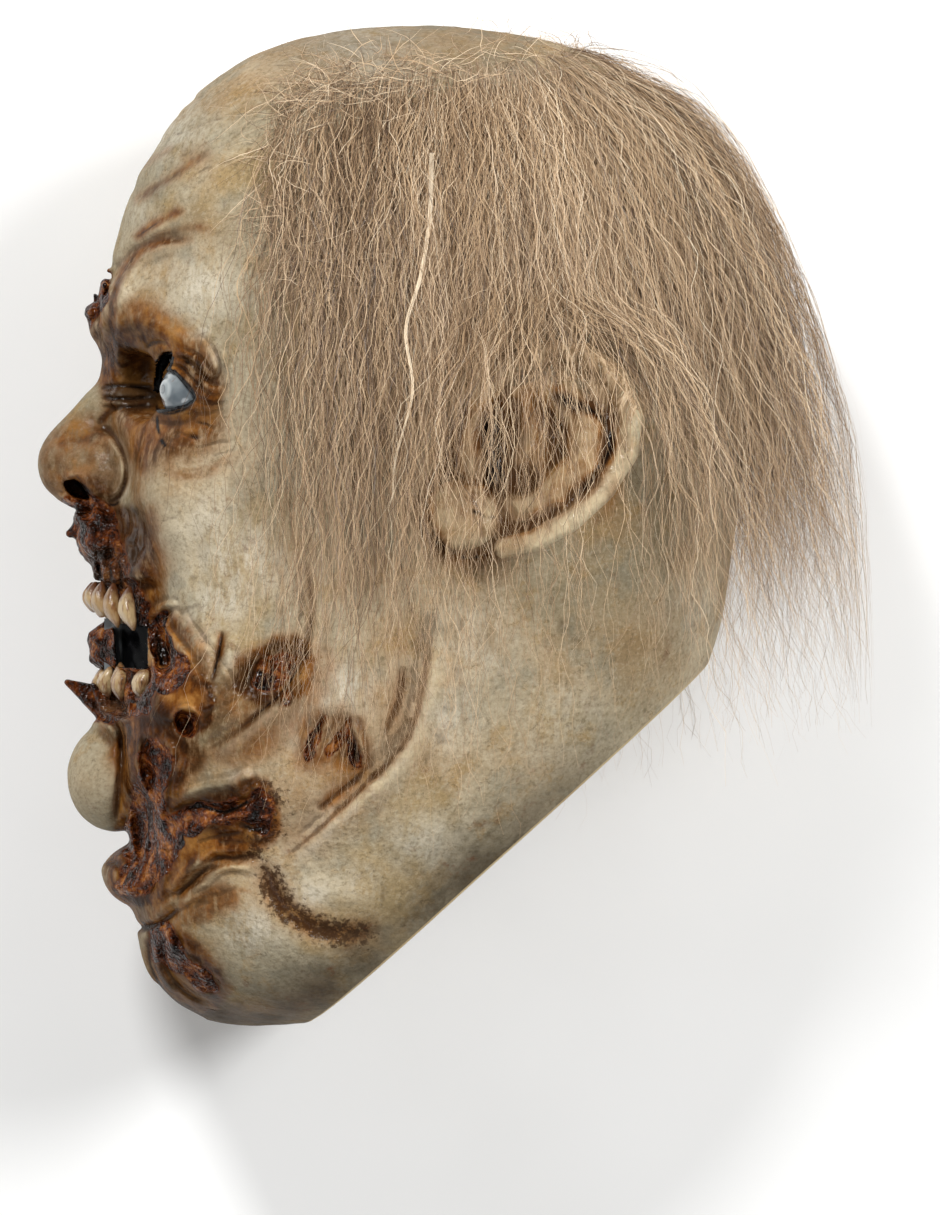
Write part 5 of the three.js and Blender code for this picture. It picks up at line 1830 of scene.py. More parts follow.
def flesh_and_skin_height(art, wound):
    """Bumps in millimetres: leathery skin with pores, and blistered flesh."""
    height = art.add(art.times(art.small, 0.55), art.times(art.grain, 0.45))
    height = art.add(height, art.times(art.middle, 1.6))
    blisters = art.math("SUBTRACT", art.times(art.noise(3, 3, 0.65), 1.7), art.cells(1.7))
    height = art.add(height, art.times(blisters, wound))
    return height


def latex_material():
    art = LatexPaintwork()
    base = specks_and_cracks(art, bone_coat(art))
    base, wash_and_shade = washes_and_shade(art, base)
    base, wound, black = wounds(art, flat_hair(art, base))
    wet = art.math("MAXIMUM", wound, art.math("MAXIMUM", art.value("grey"), art.times(black, 0.6)))
    damp = art.math("MAXIMUM", art.times(wash_and_shade, 0.2), wet)
    rough = art.add(0.44, art.times(art.small, 0.22))
    rough = art.node("ShaderNodeMix", {0: damp, 2: rough, 3: 0.14}, data_type="FLOAT").outputs[0]
    gloss = art.add(art.times(wet, 0.34), art.times(wash_and_shade, 0.13))
    gloss = art.add(gloss, art.span(art.small, 0.3, 0.7, 0.06, 0.14))
    normal = art.bump(flesh_and_skin_height(art, wound), 1.0)
    return art.finish(
        Base_Color=base, Roughness=rough, Normal=normal, Coat_Normal=normal, Coat_Weight=gloss,
        Coat_Roughness=0.08, Specular_IOR_Level=0.0,
    )


def raw_material():
    """The latex inside the mask, as it came off the mould."""
    art = Paintwork("raw_latex")
    base = art.mix(srgb(190, 168, 124), srgb(168, 140, 96), art.span(art.noise(30, 4), 0.35, 0.68))
    base = art.mix(base, srgb(128, 100, 66), art.span(art.noise(6, 4, 0.65), 0.58, 0.75, 0, 0.5))
    normal = art.bump(art.noise(3, 4, 0.6), 0.5)
    rough = art.span(art.noise(8, 2), 0.3, 0.7, 0.58, 0.78)
    return art.finish(Base_Color=base, Roughness=rough, Normal=normal)


painted = latex_material()
raw = raw_material()
for piece in skin_pieces + [inside_piece, rim]:
    piece.data.materials.append(painted if piece in skin_pieces else raw)
    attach(piece, "root")
    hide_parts("mask_skin")


# Teeth, eyes and the sheet behind the mouth


# A tooth's width and depth along it, as shares of the largest
TOOTH_STATIONS = [0, 0.12, 0.35, 0.62, 0.82, 0.94, 1]
TOOTH_WIDE = [0.12, 0.34, 0.70, 0.97, 1.0, 0.86, 0.6]
TOOTH_DEEP = [0.2, 0.5, 0.9, 0.95, 0.72, 0.5, 0.3]
TOOTH_DEPTH = 6.2
TOOTH_WIDTH = 7.2


def tooth(foot, tip, across, outward, width, dull):
    """A tooth from its bare pointed root to its biting edge: points and triangles."""
    rings, sides = 16, 20
    along = np.linspace(0, 1, rings)
    wide = np.interp(along, TOOTH_STATIONS, TOOTH_WIDE)
    deep = np.interp(along, TOOTH_STATIONS, TOOTH_DEEP)
    turns = np.linspace(0, 2 * math.pi, sides, False)
    ring_x = np.sign(np.cos(turns)) * np.abs(np.cos(turns)) ** 0.75
    ring_y = np.sign(np.sin(turns)) * np.abs(np.sin(turns)) ** 0.85
    points = []
    for share, w, d in zip(along, wide, deep):
        middle = foot + (tip - foot) * share + outward * (1.5 * math.sin(math.pi * share) - 0.6 * share)
        groove = 1 - 0.10 * np.maximum(np.sin(turns), 0) * (1 - ring_x**2)
        slant = dull * share**4
        sideways = np.outer(ring_x * w * width / 2, across)
        forwards = np.outer(ring_y * groove * d * TOOTH_DEPTH / 2, outward)
        points.append(middle + sideways + forwards + np.outer(ring_x * slant, (tip - foot) / 16))
    points.append(points[0].mean(0)[None])
    points.append((points[-2].mean(0) + (tip - foot) * 0.035)[None])
    points = np.vstack(points)
    triangles = []
    for ring in range(rings - 1):
        here, there = ring * sides, (ring + 1) * sides
        for i in range(sides):
            j = (i + 1) % sides
            triangles += [(here + i, there + i, there + j), (here + i, there + j, here + j)]
    last = (rings - 1) * sides
    for i in range(sides):
        j = (i + 1) % sides
        triangles += [(rings * sides, i, j), (rings * sides + 1, last + j, last + i)]
    return points, np.array(triangles)


# Upper and lower row: number of teeth, the front tooth's place, how far back and how wide the row
# reaches, and the heights of roots and tips from the middle of the row to its ends
TOOTH_ROWS = [
    (10, -127.6, 20, 33, ([0, 0.6, 1], [-8.5, -8.0, -11]), ([0, 0.35, 0.7, 1], [-19, -20, -24.2, -24.8])),
    (8, -124.2, 24, 40, ([0, 1], [-53, -52.5]), ([0, 0.4, 1], [-41, -40.2, -41.5])),
]


def make_teeth():
    """Both rows in one mesh, each tooth a little different."""
    random = np.random.default_rng(12)
    points, triangles, along, tint = [], [], [], []
    count = 0
    for teeth_in_row, front, back, spread, roots, tips in TOOTH_ROWS:
        for i in range(teeth_in_row):
            share = 2 * (i + 0.5) / teeth_in_row - 1
            root_y = float(np.interp(abs(share), *roots))
            length = float(np.interp(abs(share), *tips)) - root_y
            side = spread * (share + 0.38 * share**3)
            across = np.array([2 * back * share, 0, spread * (1 + 1.14 * share**2)])
            across /= np.linalg.norm(across)
            outward = np.array([-across[2], 0, across[0]])
            foot = np.array([front + back * share**2, root_y, MID + side]) - outward * 0.4
            reach = length * random.uniform(0.94, 1.04)
            lean = across * random.normal(0, 0.8) + outward * random.normal(0.3, 0.3)
            width = (TOOTH_WIDTH + 1.6 * abs(share)) * random.uniform(0.94, 1.06)
            tip = foot + (0, reach, 0) + lean
            made, faces = tooth(foot, tip, across, outward, width, random.normal(0, 1.4))
            if length > 0:
                faces = faces[:, ::-1]
            points.append(made)
            triangles.append(faces + count)
            count += len(made)
            along.append((made[:, 1] - root_y) / length)
            tint.append(np.full(len(made), random.random()))
    made = mesh_object("teeth", np.vstack(points), np.vstack(triangles))
    give(made.data, "along", np.concatenate(along))
    give(made.data, "tint", np.concatenate(tint))
    return made


def tooth_material():
    art = Paintwork("stained_tooth")
    streaks = art.noise(1.4, 3, 0.6, stretch=(1.6, 0.35, 1.6))
    spots = art.noise(2.6, 4, 0.65)
    base = art.mix(srgb(196, 170, 126), srgb(164, 130, 86), art.value("tint"))
    base = art.mix(base, srgb(128, 82, 42), art.span(streaks, 0.48, 0.64, 0, 0.8))
    base = art.mix(base, srgb(66, 40, 22), art.span(streaks, 0.64, 0.74, 0, 0.8))
    stain = art.math("ADD", art.value("along"), art.math("MULTIPLY", art.math("SUBTRACT", spots, 0.5), 0.8))
    base = art.mix(base, srgb(88, 46, 20), art.span(stain, 0.52, 0.10, 0, 0.95))
    base = art.mix(base, srgb(120, 76, 38), art.span(stain, 0.86, 1.04, 0, 0.7))
    normal = art.bump(art.math("ADD", streaks, spots), 0.5)
    return art.finish(Base_Color=base, Roughness=0.3, Normal=normal, Coat_Weight=0.25, Coat_Roughness=0.15)


GAZE = (-11.0, 0.7, 6.9)  # the way that the left eye looks


def eyeball(name, side):
    """A ball with rings round the way that it looks; "angle" is the angle from there. side is 1 or -1."""
    rings, sides = 64, 64
    centre = np.array([EYEBALL[0], EYEBALL[1], MID + side * EYEBALL[2]])
    pole = np.array([GAZE[0], GAZE[1], side * GAZE[2]])
    pole = pole / np.linalg.norm(pole)
    one = np.cross(pole, (0, 1, 0))
    one /= np.linalg.norm(one)
    two = np.cross(pole, one)
    points, angles = [], []
    for i in range(rings + 1):
        angle = math.pi * i / rings
        # the cornea stands out a little in front of the iris
        here = EYE_RADIUS + 0.7 * smoothstep(np.array(angle), 0.46, 0.2)
        for j in range(sides):
            turn = 2 * math.pi * j / sides
            way = math.cos(angle) * pole + math.sin(angle) * (math.cos(turn) * one + math.sin(turn) * two)
            points.append(centre + way * here)
            angles.append(angle)
    quads = []
    for i in range(rings):
        for j in range(sides):
            k = (j + 1) % sides
            quads.append((i * sides + j, i * sides + k, (i + 1) * sides + k, (i + 1) * sides + j))
    made = mesh_object(name, np.array(points), np.array(quads))
    give(made.data, "angle", np.array(angles))
    return made


def eye_material():
    art = Paintwork("glass_eye")
    angle = art.value("angle")
    veins = art.noise(3, 4, 0.7, distortion=1.2)
    white = art.mix(srgb(146, 153, 155), srgb(88, 97, 103), art.span(art.noise(7, 3), 0.35, 0.65))
    white = art.mix(white, srgb(120, 96, 84), art.span(veins, 0.60, 0.70, 0, 0.35))
    # past the pupil, the pale band is partly painted highlight and the darker grey beyond it partly painted
    # shade
    iris = art.ramp(angle, [
        (0.0, srgb(92, 100, 102)), (0.08, srgb(104, 112, 114)), (0.12, srgb(78, 86, 90)),
        (0.17, srgb(142, 150, 152)), (0.28, srgb(168, 174, 174)), (0.36, srgb(140, 147, 150)),
        (0.43, srgb(108, 116, 120)),
    ])
    colour = art.mix(iris, white, art.span(angle, 0.34, 0.42))
    return art.finish(Base_Color=colour, Roughness=0.12, Coat_Weight=1.0, Coat_Roughness=0.03)


SHEET_X = (-122, -103)
SHEET_Y = (-44, -22)


def mouth_sheet():
    """A glossy black sheet in each of the two windows of the mouth, bent round the jaw."""
    rows, columns, thick = 10, 26, 0.8
    front_x, back_x = SHEET_X
    count = rows * columns
    points, quads = [], []
    for side in (1, -1):
        start = len(points)
        for inner in (0.0, thick):
            for y in np.linspace(*SHEET_Y, rows):
                for x in np.linspace(front_x, back_x, columns):
                    bend = 12 * math.sin((x - front_x) / (back_x - front_x) * 1.5)
                    away = 12.5 + bend + 0.25 * math.sin(0.35 * y + x)
                    points.append((x + inner, y, MID + side * (away - inner)))
        for i in range(rows - 1):
            for j in range(columns - 1):
                a = start + i * columns + j
                front = (a, a + 1, a + columns + 1, a + columns)
                back = tuple(v + count for v in front[::-1])
                quads += [front, back] if side > 0 else [front[::-1], back[::-1]]
    points = np.array(points)
    made = mesh_object("mouth_sheet", points, np.array(quads))
    # the share along the sheet, by which its material paints a grey reflection near the front edge
    give(made.data, "back", (points[:, 0] + 118) / 13)
    return made


def sheet_material():
    art = Paintwork("black_sheet")
    scuffs = art.noise(5, 4, 0.6)
    base = art.mix(srgb(12, 12, 13), srgb(34, 34, 36), art.span(scuffs, 0.5, 0.75))
    # painted reflection: a grey band along the sheet's front edge
    base = art.mix(base, srgb(122, 126, 128), art.span(art.value("back"), 0.26, 0.12, 0, 0.9))
    return art.finish(Base_Color=base, Roughness=art.span(scuffs, 0.3, 0.7, 0.14, 0.3))


eye_look = eye_material()
for piece, look in [
    (make_teeth(), tooth_material()),
    (eyeball("eye_left", 1), eye_look),
    (eyeball("eye_right", -1), eye_look),
    (mouth_sheet(), sheet_material()),
]:
    piece.data.materials.append(look)
    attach(piece, "root")
    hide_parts("mask_skin")


# The hair

LOWEST = 0.4  # how low a strand may lie


def scalp_distance(x, y, z):
    """The head that the hair lies on, with the ears but without small folds."""
    side = np.abs(z - MID)
    distance = body_distance(x, y, side)
    for at, radii, blend, turn, _ in MASSES[-2:]:
        distance = smooth_least(distance, mass_distance(x, y, side, at, radii, turn), blend)
    bump = mass_distance(x, y, z, (46, 42, EAR_HEIGHT), (44, 40, 21), EAR_TURN)
    return smooth_least(distance, bump, 16)


def outwards(points):
    """Roughly the direction away from the head."""
    away = points - np.array([5.0, 20.0, MID])
    away[:, 1] *= 0.6
    away[:, 2] *= 1.1
    return away / np.maximum(np.linalg.norm(away, axis=1), 1e-6)[:, None]


def slope_of(points):
    """How far points are off the scalp, and the way straight off it."""
    step = 0.5
    slope = np.empty_like(points)
    base = in_chunks(scalp_distance, points)
    for axis in range(3):
        ahead = points.copy()
        ahead[:, axis] += step
        slope[:, axis] = in_chunks(scalp_distance, ahead) - base
    return base, slope / np.maximum(np.linalg.norm(slope, axis=1), 1e-9)[:, None]


class Scalp:
    """The part of the latex where hair is glued on."""

    def __init__(self):
        corners = latex_points[latex_triangles]
        middle = corners.mean(1)
        across, down = photo_place(*middle.T.astype(np.float32))
        self.border = polygon_distance(across, down, HAIR_ROOTS) * VIEW_PIXEL
        kept = (self.border < 14) & (middle[:, 2] > 2.5)
        self.corners, self.border = corners[kept], self.border[kept]
        sides = self.corners[:, 1] - self.corners[:, 0], self.corners[:, 2] - self.corners[:, 0]
        self.area = np.linalg.norm(np.cross(*sides), axis=1)
        self.back, self.height, self.depth = self.corners.mean(1).T

    def roots(self, count, weight, random):
        """Random places on the scalp, more of them where the weight is larger."""
        share = self.area * weight
        chosen = random.choice(len(self.corners), count, p=share / share.sum())
        u, v = random.random(count), random.random(count)
        over = u + v > 1
        u[over], v[over] = 1 - u[over], 1 - v[over]
        a, b, c = (self.corners[chosen, i] for i in range(3))
        return a + u[:, None] * (b - a) + v[:, None] * (c - a)


def grow(roots, random, length, lift, stiffness, lean, meander):
    """Guides that leave their roots along the head and turn down under their own weight, as points of
    shape (strands, steps, 3) with the steps of each strand evenly spaced."""
    count, steps = len(roots), 44
    pace = (length / (steps - 1))[:, None]
    down = np.array([0.0, -1.0, 0.0])
    base, normal = slope_of(roots)
    heading = down - normal * (normal @ down)[:, None] + normal * random.uniform(0.05, 0.3, count)[:, None]
    heading /= np.maximum(np.linalg.norm(heading, axis=1), 1e-6)[:, None]
    phase = random.uniform(0, 2 * math.pi, (2, count))
    period = random.uniform(35, 95, (2, count))
    points = np.empty((count, steps, 3))
    place = roots + normal * 0.2
    for step in range(steps):
        points[:, step] = place
        travelled = step * pace[:, 0]
        swing = [np.sin(travelled / period[i] * 2 * math.pi + phase[i]) * meander for i in (0, 1)]
        outward_limit = smoothstep(place[:, 0] - back_outline(place[:, 1]), -14, 6)
        forward = (lean + swing[0]) * (1 - outward_limit) - 0.1 * outward_limit
        target = np.stack([forward, -np.ones(count), swing[1]], 1)
        pull = 1 - (1 - stiffness) ** (pace[:, 0] / 6)
        heading = heading * (1 - pull[:, None]) + target * pull[:, None]
        heading /= np.linalg.norm(heading, axis=1)[:, None]
        place = place + heading * pace
        away, normal = slope_of(place)
        wanted = lift * smoothstep(travelled, 0, 45) + 0.2
        place += normal * np.maximum(wanted - away, 0)[:, None]
        # hair that hangs close to the side clings to it
        beside = smoothstep(np.abs(normal[:, 2]), 0.45, 0.8) * smoothstep(place[:, 1], -50, -20)
        place -= normal * (0.22 * np.clip(away - wanted - 1.5, 0, 3) * beside)[:, None]
        into = np.maximum(0.0, -(heading * normal).sum(1)) * (away < wanted + 0.5)
        heading += normal * into[:, None]
        place[:, 2] = np.maximum(place[:, 2], LOWEST)
    return points


SEGMENT = 5.6  # millimetres of a strand between two points
SEGMENT_STEP = 6  # strands have a multiple of this number of segments


def nearest_guides(roots, starts, random):
    """For each root one of the guides' starts close to it."""
    nearest = np.empty(len(roots), int)
    for first in range(0, len(roots), 1500):
        part = roots[first : first + 1500]
        gap = ((part[:, None] - starts) ** 2).sum(2) * random.uniform(0.7, 1.3, (len(part), len(starts)))
        nearest[first : first + 1500] = gap.argmin(1)
    return nearest


def comb(roots, guides, guide_length, length, random, frizz):
    """Strands that each follow a guide near them, with waves of their own. Strands come back in lists
    of equal numbers of points: (number of points, which strands, points)."""
    nearest = nearest_guides(roots, guides[:, 0], random)
    length = np.minimum(length, guide_length[nearest] * 0.98)
    gather = random.uniform(0.1, 0.8, len(guides))[nearest] * random.uniform(0.6, 1.1, len(roots))
    made = []
    classes = np.ceil(length / SEGMENT / SEGMENT_STEP) * SEGMENT_STEP
    classes = np.clip(classes, SEGMENT_STEP, 7 * SEGMENT_STEP).astype(int)
    for segments in np.unique(classes):
        who = np.flatnonzero(classes == segments)
        t = np.linspace(0, 1, segments + 1)
        travelled = length[who, None] * t
        place = travelled / guide_length[nearest[who], None] * (guides.shape[1] - 1)
        low = np.clip(place.astype(int), 0, guides.shape[1] - 2)
        share = (place - low)[..., None]
        line = nearest[who][:, None]
        points = guides[line, low] * (1 - share) + guides[line, low + 1] * share
        offset = (roots[who] - guides[nearest[who], 0])[:, None]
        points = points + offset * (1 - gather[who, None, None] * smoothstep(travelled, 10, 110)[..., None])
        number = len(who)
        for axis, spread in ((0, 0.075), (2, 0.05)):
            points[..., axis] += random.normal(0, spread, number)[:, None] * np.maximum(travelled - 12, 0)
        wide_wave = (random.uniform(0.8, 4.0, number), (34, 90))
        close_wave = (random.uniform(0.3, 1.4, number) * frizz, (14, 28))
        for size, waves in (wide_wave, close_wave):
            for axis, part in ((0, 1.0), (1, 0.25), (2, 0.55)):
                period = random.uniform(*waves, number)[:, None]
                phase = random.uniform(0, 2 * math.pi, number)[:, None]
                wave = np.sin(travelled / period * 2 * math.pi + phase) - np.sin(phase)
                points[..., axis] += part * size[:, None] * wave * smoothstep(travelled, -4, 30)
        flat = points.reshape(-1, 3)
        away = in_chunks(scalp_distance, flat)
        wanted = (0.25 + random.random(number)[:, None] * 1.6 * smoothstep(travelled, 0, 20)).reshape(-1)
        wanted *= smoothstep(travelled, -1, 6).reshape(-1)
        flat += outwards(flat) * (np.clip(wanted - away, 0, 12) * 1.1)[:, None]
        flat = kept_close(flat)
        made.append((segments + 1, who, flat.reshape(points.shape)))
    return made


def back_outline(height):
    """How far back the hair reaches at a height."""
    return np.interp(height, *np.array(BACK_OUTLINE, float).T)


def kept_close(points):
    """Points bent back softly where they stand too far behind or above the head."""
    points = points.copy()
    for axis, free, most in ((0, back_outline(points[:, 1]), 11), (2, 234, 16)):
        over = np.maximum(points[:, axis] - free, 0)
        points[:, axis] -= over - most * np.tanh(over / most)
    points[:, 2] = np.maximum(points[:, 2], LOWEST)
    return points


def ribbons(strands, width, random):
    """Thin ribbons along strands, which narrow to their ends: points and quads."""
    count, steps, _ = strands.shape
    tangent = np.gradient(strands, axis=1)
    tangent /= np.maximum(np.linalg.norm(tangent, axis=2), 1e-9)[..., None]
    normal = outwards(strands.reshape(-1, 3)).reshape(strands.shape)
    turn = random.uniform(-0.9, 0.9, count)[:, None, None]
    side = np.cross(tangent, normal)
    side /= np.maximum(np.linalg.norm(side, axis=2), 1e-9)[..., None]
    side = side * np.cos(turn) + np.cross(tangent, side) * np.sin(turn)
    taper = np.interp(np.linspace(0, 1, steps), [0, 0.06, 0.6, 1], [0.8, 1, 0.85, 0.25])
    half = side * (width[:, None] * taper)[..., None] / 2
    points = np.stack([strands - half, strands + half], axis=2).reshape(-1, 3)
    base = (np.arange(count)[:, None] * steps + np.arange(steps - 1)) * 2
    quads = np.stack([base, base + 1, base + 3, base + 2], axis=-1).reshape(-1, 4)
    points[:, 2] = np.maximum(points[:, 2], 0.2)
    return points, quads


def hair_object(name, batches, width, tint, random):
    """One mesh from batches of strands."""
    points, quads, along, tints, count = [], [], [], [], 0
    for steps, who, strands in batches:
        made, faces = ribbons(strands, width[who], random)
        points.append(made)
        quads.append(faces + count)
        count += len(made)
        along.append(np.tile(np.repeat(np.linspace(0, 1, steps), 2), len(who)))
        tints.append(np.repeat(tint[who], steps * 2))
    made = mesh_object(name, np.concatenate(points), np.concatenate(quads))
    give(made.data, "tint", np.concatenate(tints))
    give(made.data, "along", np.concatenate(along))
    return made


def reach_of(roots):
    """How long hair must be to come down to where it ends in the photograph."""
    across, down = photo_place(*roots.T.astype(np.float32))
    return np.clip(np.interp(across, *np.array(HAIR_ENDS, float).T) - down, 60, 640) * VIEW_PIXEL


def grow_guides(scalp, weight, random):
    """The guides of the main hair and their lengths."""
    roots = scalp.roots(900, weight, random)
    number = len(roots)
    behind = smoothstep(roots[:, 0], 20, 95)
    before = 1 - smoothstep(roots[:, 0], -62, -36)
    length = reach_of(roots) * (1.22 + 0.1 * behind)
    fluffy = random.random(number) ** 1.6
    lift = 0.4 + fluffy * (3.5 + 3 * smoothstep(roots[:, 1], 40, 180)) + behind * 3
    lean = random.normal(0, 0.06, number) + behind * random.uniform(-0.02, 0.40, number) - before * 0.10
    stiffness = random.uniform(0.10, 0.30, number) * (1 - 0.4 * behind)
    meander = random.uniform(0.03, 0.16, number)
    return grow(roots, random, length, lift, stiffness, lean, meander), length


def strand_lengths(roots, random):
    """Many strands are short, and some are longer than the rest. Many end above the ear, so that it shows."""
    count = len(roots)
    part = random.random(count)
    share = np.where(part < 0.34, random.uniform(0.80, 1.06, count), random.uniform(0.34, 0.86, count))
    share = np.where(part > 0.88, random.uniform(1.02, 1.28, count), share)
    length = reach_of(roots) * share
    across, down = photo_place(*roots.T.astype(np.float32))
    to_ear = np.maximum((365 - down) * VIEW_PIXEL, 16) * random.uniform(0.7, 1.15, count)
    over_ear = smoothstep(across, 380, 440) * (1 - smoothstep(across, 610, 670)) * (roots[:, 2] > MID)
    return np.where(random.random(count) < 0.74 * over_ear, np.minimum(length, to_ear), length)


def main_hair(scalp, weight, random):
    """The hair from temple to temple, in four pieces."""
    guides, guide_length = grow_guides(scalp, weight, random)
    count = 8800
    roots = scalp.roots(count, weight, random)
    length = strand_lengths(roots, random)
    width = random.uniform(0.13, 0.27, count) * 1.0
    tint = np.clip(random.normal(0.38, 0.24, count) + 0.3 * fractal(*roots.T, 15, 2, 29), 0, 1)
    # the strands at the front, over the skin, are the darkest
    tint *= 1 - 0.5 * (1 - smoothstep(roots[:, 0], -66, -30))
    under = roots[:, 2] < MID
    groups = np.where(under, 3, np.where(roots[:, 0] < 15, 0, np.where(roots[:, 0] < 66, 1, 2)))
    made = []
    for group, name in enumerate(("hair_front", "hair_middle", "hair_back", "hair_under")):
        who = groups == group
        batches = comb(roots[who], guides, guide_length, length[who], random, 1.0)
        made.append(hair_object(name, batches, width[who], tint[who], random))
    return made


def hairline(scalp, random):
    """Short tangled ends along the hairline, and a few on the bald crown."""
    weight = np.exp(-((scalp.border + 3) / 6) ** 2) * (scalp.height > 95)
    weight = weight * (1 + 6 * np.exp(-(((scalp.back + 36) / 20) ** 2)))
    count, steps = 2600, 10
    roots = scalp.roots(count, weight + 0.012, random)
    _, normal = slope_of(roots)
    heading = random.normal(0, 1, (count, 3)) + normal * 0.5 - np.array([0, 0.4, 0])
    heading -= normal * np.minimum((heading * normal).sum(1) - 0.1, 0)[:, None]
    heading /= np.linalg.norm(heading, axis=1)[:, None]
    bend = random.normal(0, 0.32, (count, 3))
    pace = random.uniform(8, 34, count)[:, None] / steps
    tangle = np.empty((count, steps + 1, 3))
    place = roots + normal * 0.1
    for step in range(steps + 1):
        tangle[:, step] = place
        heading = heading + bend + random.normal(0, 0.15, (count, 3)) - np.array([0, 0.05, 0])
        heading /= np.linalg.norm(heading, axis=1)[:, None]
        place = place + heading * pace
        away = in_chunks(scalp_distance, place)
        place += normal * np.clip(0.5 - away, 0, 5)[:, None]
        place -= normal * (0.35 * np.clip(away - 4, 0, 6))[:, None]
    width = random.uniform(0.14, 0.26, count)
    tint = random.uniform(0.05, 0.85, count)
    return hair_object("hair_line", [(steps + 1, np.arange(count), tangle)], width, tint, random)


def stray_hair(scalp, weight, random):
    """Loose strands that hang lower than the rest."""
    count = 420
    roots = scalp.roots(count, weight, random)
    behind = smoothstep(roots[:, 0], 20, 95)
    length = np.minimum(reach_of(roots) * random.uniform(1.0, 1.3, count) + 10, 290)
    lean = random.normal(0, 0.10, count) + behind * random.uniform(0, 0.5, count)
    lift = random.uniform(1, 8, count)
    stiffness = random.uniform(0.06, 0.2, count)
    meander = random.uniform(0.1, 0.4, count)
    strays = grow(roots, random, length, lift, stiffness, lean, meander)
    batches = comb(roots, strays, length, length * 0.97, random, 1.5)
    width = random.uniform(0.13, 0.24, count)
    tint = random.uniform(0.0, 0.7, count)
    return hair_object("hair_strays", batches, width, tint, random)


PALE_LOCK = [(430, 150), (428, 220), (419, 278), (405, 330), (412, 392), (395, 461), (392, 500)]


def pale_lock(random):
    """The one pale lock in front of the ear, drawn in the photograph's pixels."""
    strands = 7
    path = catmull(PALE_LOCK, samples=8)
    x = VIEW_CENTRE[0] + (path[:, 0] - PHOTO[0] / 2) * VIEW_PIXEL * 0.95
    y = VIEW_CENTRE[1] - (path[:, 1] - PHOTO[1] / 2) * VIEW_PIXEL * 0.95
    lock = np.empty((strands, len(path), 3))
    for strand in range(strands):
        spread = np.linspace(0.9, 0.3, len(path)) * random.normal(0, 0.6)
        lock[strand] = np.stack([x + spread, y, np.full(len(path), 215.0)], 1)
    for _ in range(12):
        flat = lock.reshape(-1, 3)
        flat[:, 2] -= (in_chunks(scalp_distance, flat) - 6.5) * 0.8
    width, tint = np.full(strands, 0.34), np.full(strands, 0.94)
    return hair_object("hair_lock", [(len(path), np.arange(strands), lock)], width, tint, random)


def make_hair():
    """All the hair, drawn from one row of random numbers."""
    random = np.random.default_rng(5)
    scalp = Scalp()
    weight = (scalp.border < 0) * (1 + 3.2 * smoothstep(scalp.height, 110, 175))
    weight = weight * (0.36 + 0.64 * smoothstep(scalp.depth, MID - 30, MID + 10))
    weight = weight * (0.25 + 0.75 * smoothstep(scalp.back, -62, -26))
    made = main_hair(scalp, weight, random)
    made.append(hairline(scalp, random))
    made.append(stray_hair(scalp, weight, random))
    made.append(pale_lock(random))
    return made


def hair_material():
    art = Paintwork("loose_hair")
    # the darkest tints are partly darker hair and partly painted shade on strands
    colour = art.ramp(art.value("tint"), [
        (0.0, srgb(72, 51, 34)), (0.25, srgb(138, 110, 80)), (0.5, srgb(188, 158, 122)),
        (0.78, srgb(220, 196, 164)), (1.0, srgb(236, 220, 192)),
    ])
    colour = art.mix(colour, srgb(100, 78, 58), art.span(art.value("along"), 0.22, 0.0, 0, 0.4))
    colour = art.mix(colour, srgb(188, 158, 126), art.span(art.value("along"), 0.6, 1.0, 0, 0.25))
    rough = art.span(art.value("tint"), 0.0, 1.0, 0.42, 0.55)
    return art.finish(Base_Color=colour, Roughness=rough, Specular_IOR_Level=0.4)


hair_look = hair_material()
for piece in make_hair():
    piece.data.materials.append(hair_look)
    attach(piece, "root")
    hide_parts("hair")


# Floor, lights and camera


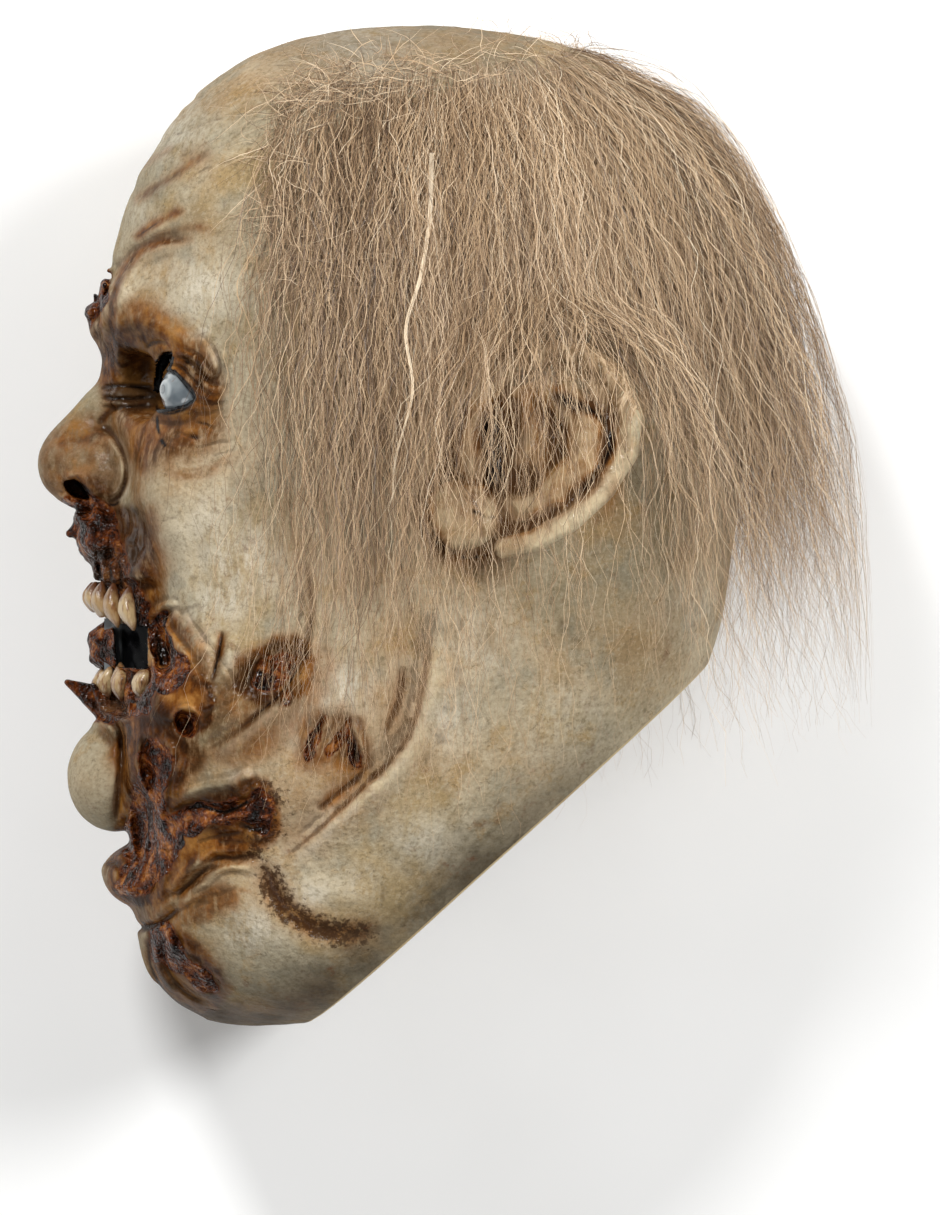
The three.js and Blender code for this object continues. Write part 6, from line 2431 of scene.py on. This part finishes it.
def plain_material(name, colour, rough):
    art = Paintwork(name)
    tint = art.mix(colour, srgb(236, 236, 234), art.span(art.noise(60, 2), 0.3, 0.7, 0, 0.25))
    return art.finish(Base_Color=tint, Roughness=rough)


FLOOR_HALF = 4  # metres
floor_corners = [(x * FLOOR_HALF, y * FLOOR_HALF, 0) for x, y in ((-1, -1), (1, -1), (1, 1), (-1, 1))]
floor_mesh = bpy.data.meshes.new("floor")
floor_mesh.from_pydata(floor_corners, [], [(0, 1, 2, 3)])
floor = bpy.data.objects.new("floor", floor_mesh)
bpy.context.scene.collection.objects.link(floor)
floor_mesh.materials.append(plain_material("pale_floor", srgb(250, 250, 249), 0.9))


def area_light(name, at, look, size, power):
    """A round light at a place, turned to what it looks at, in metres and watts."""
    light = bpy.data.lights.new(name, "AREA")
    light.shape = "DISK"
    light.size = size
    light.energy = power
    made = bpy.data.objects.new(name, light)
    bpy.context.scene.collection.objects.link(made)
    made.location = at
    way = np.subtract(look, at)
    made.rotation_euler = Vector(way).to_track_quat("-Z", "Y").to_euler()


for light_row in [
    ("key", (-0.5, 1.15, 1.5), (0, 0, 0.1), 0.34, 25),
    ("fill", (1.0, 0.5, 1.5), (0, 0, 0.1), 0.6, 23),
    ("low", (-0.6, -1.0, 1.3), (0, -0.05, 0.1), 0.9, 5),
]:
    area_light(*light_row)

WORLD_STRENGTH = 0.25
world = bpy.data.worlds.new("soft_white")
bpy.context.scene.world = world
world.use_nodes = True
background = world.node_tree.nodes["Background"]
background.inputs["Color"].default_value = (1, 1, 1, 1)
background.inputs["Strength"].default_value = WORLD_STRENGTH
bpy.context.scene.view_settings.view_transform = "Standard"

SENSOR = 36
camera_data = bpy.data.cameras.new("photo_view")
camera_data.sensor_fit = "VERTICAL"
camera_data.sensor_height = SENSOR
camera_data.lens = SENSOR * CAMERA_HEIGHT / (PHOTO[1] * VIEW_PIXEL)
camera_data.clip_end = 20
camera = bpy.data.objects.new("photo_view", camera_data)
bpy.context.scene.collection.objects.link(camera)
camera.location = (VIEW_CENTRE[0] * MM, VIEW_CENTRE[1] * MM, (MID + CAMERA_HEIGHT) * MM)
bpy.context.scene.camera = camera
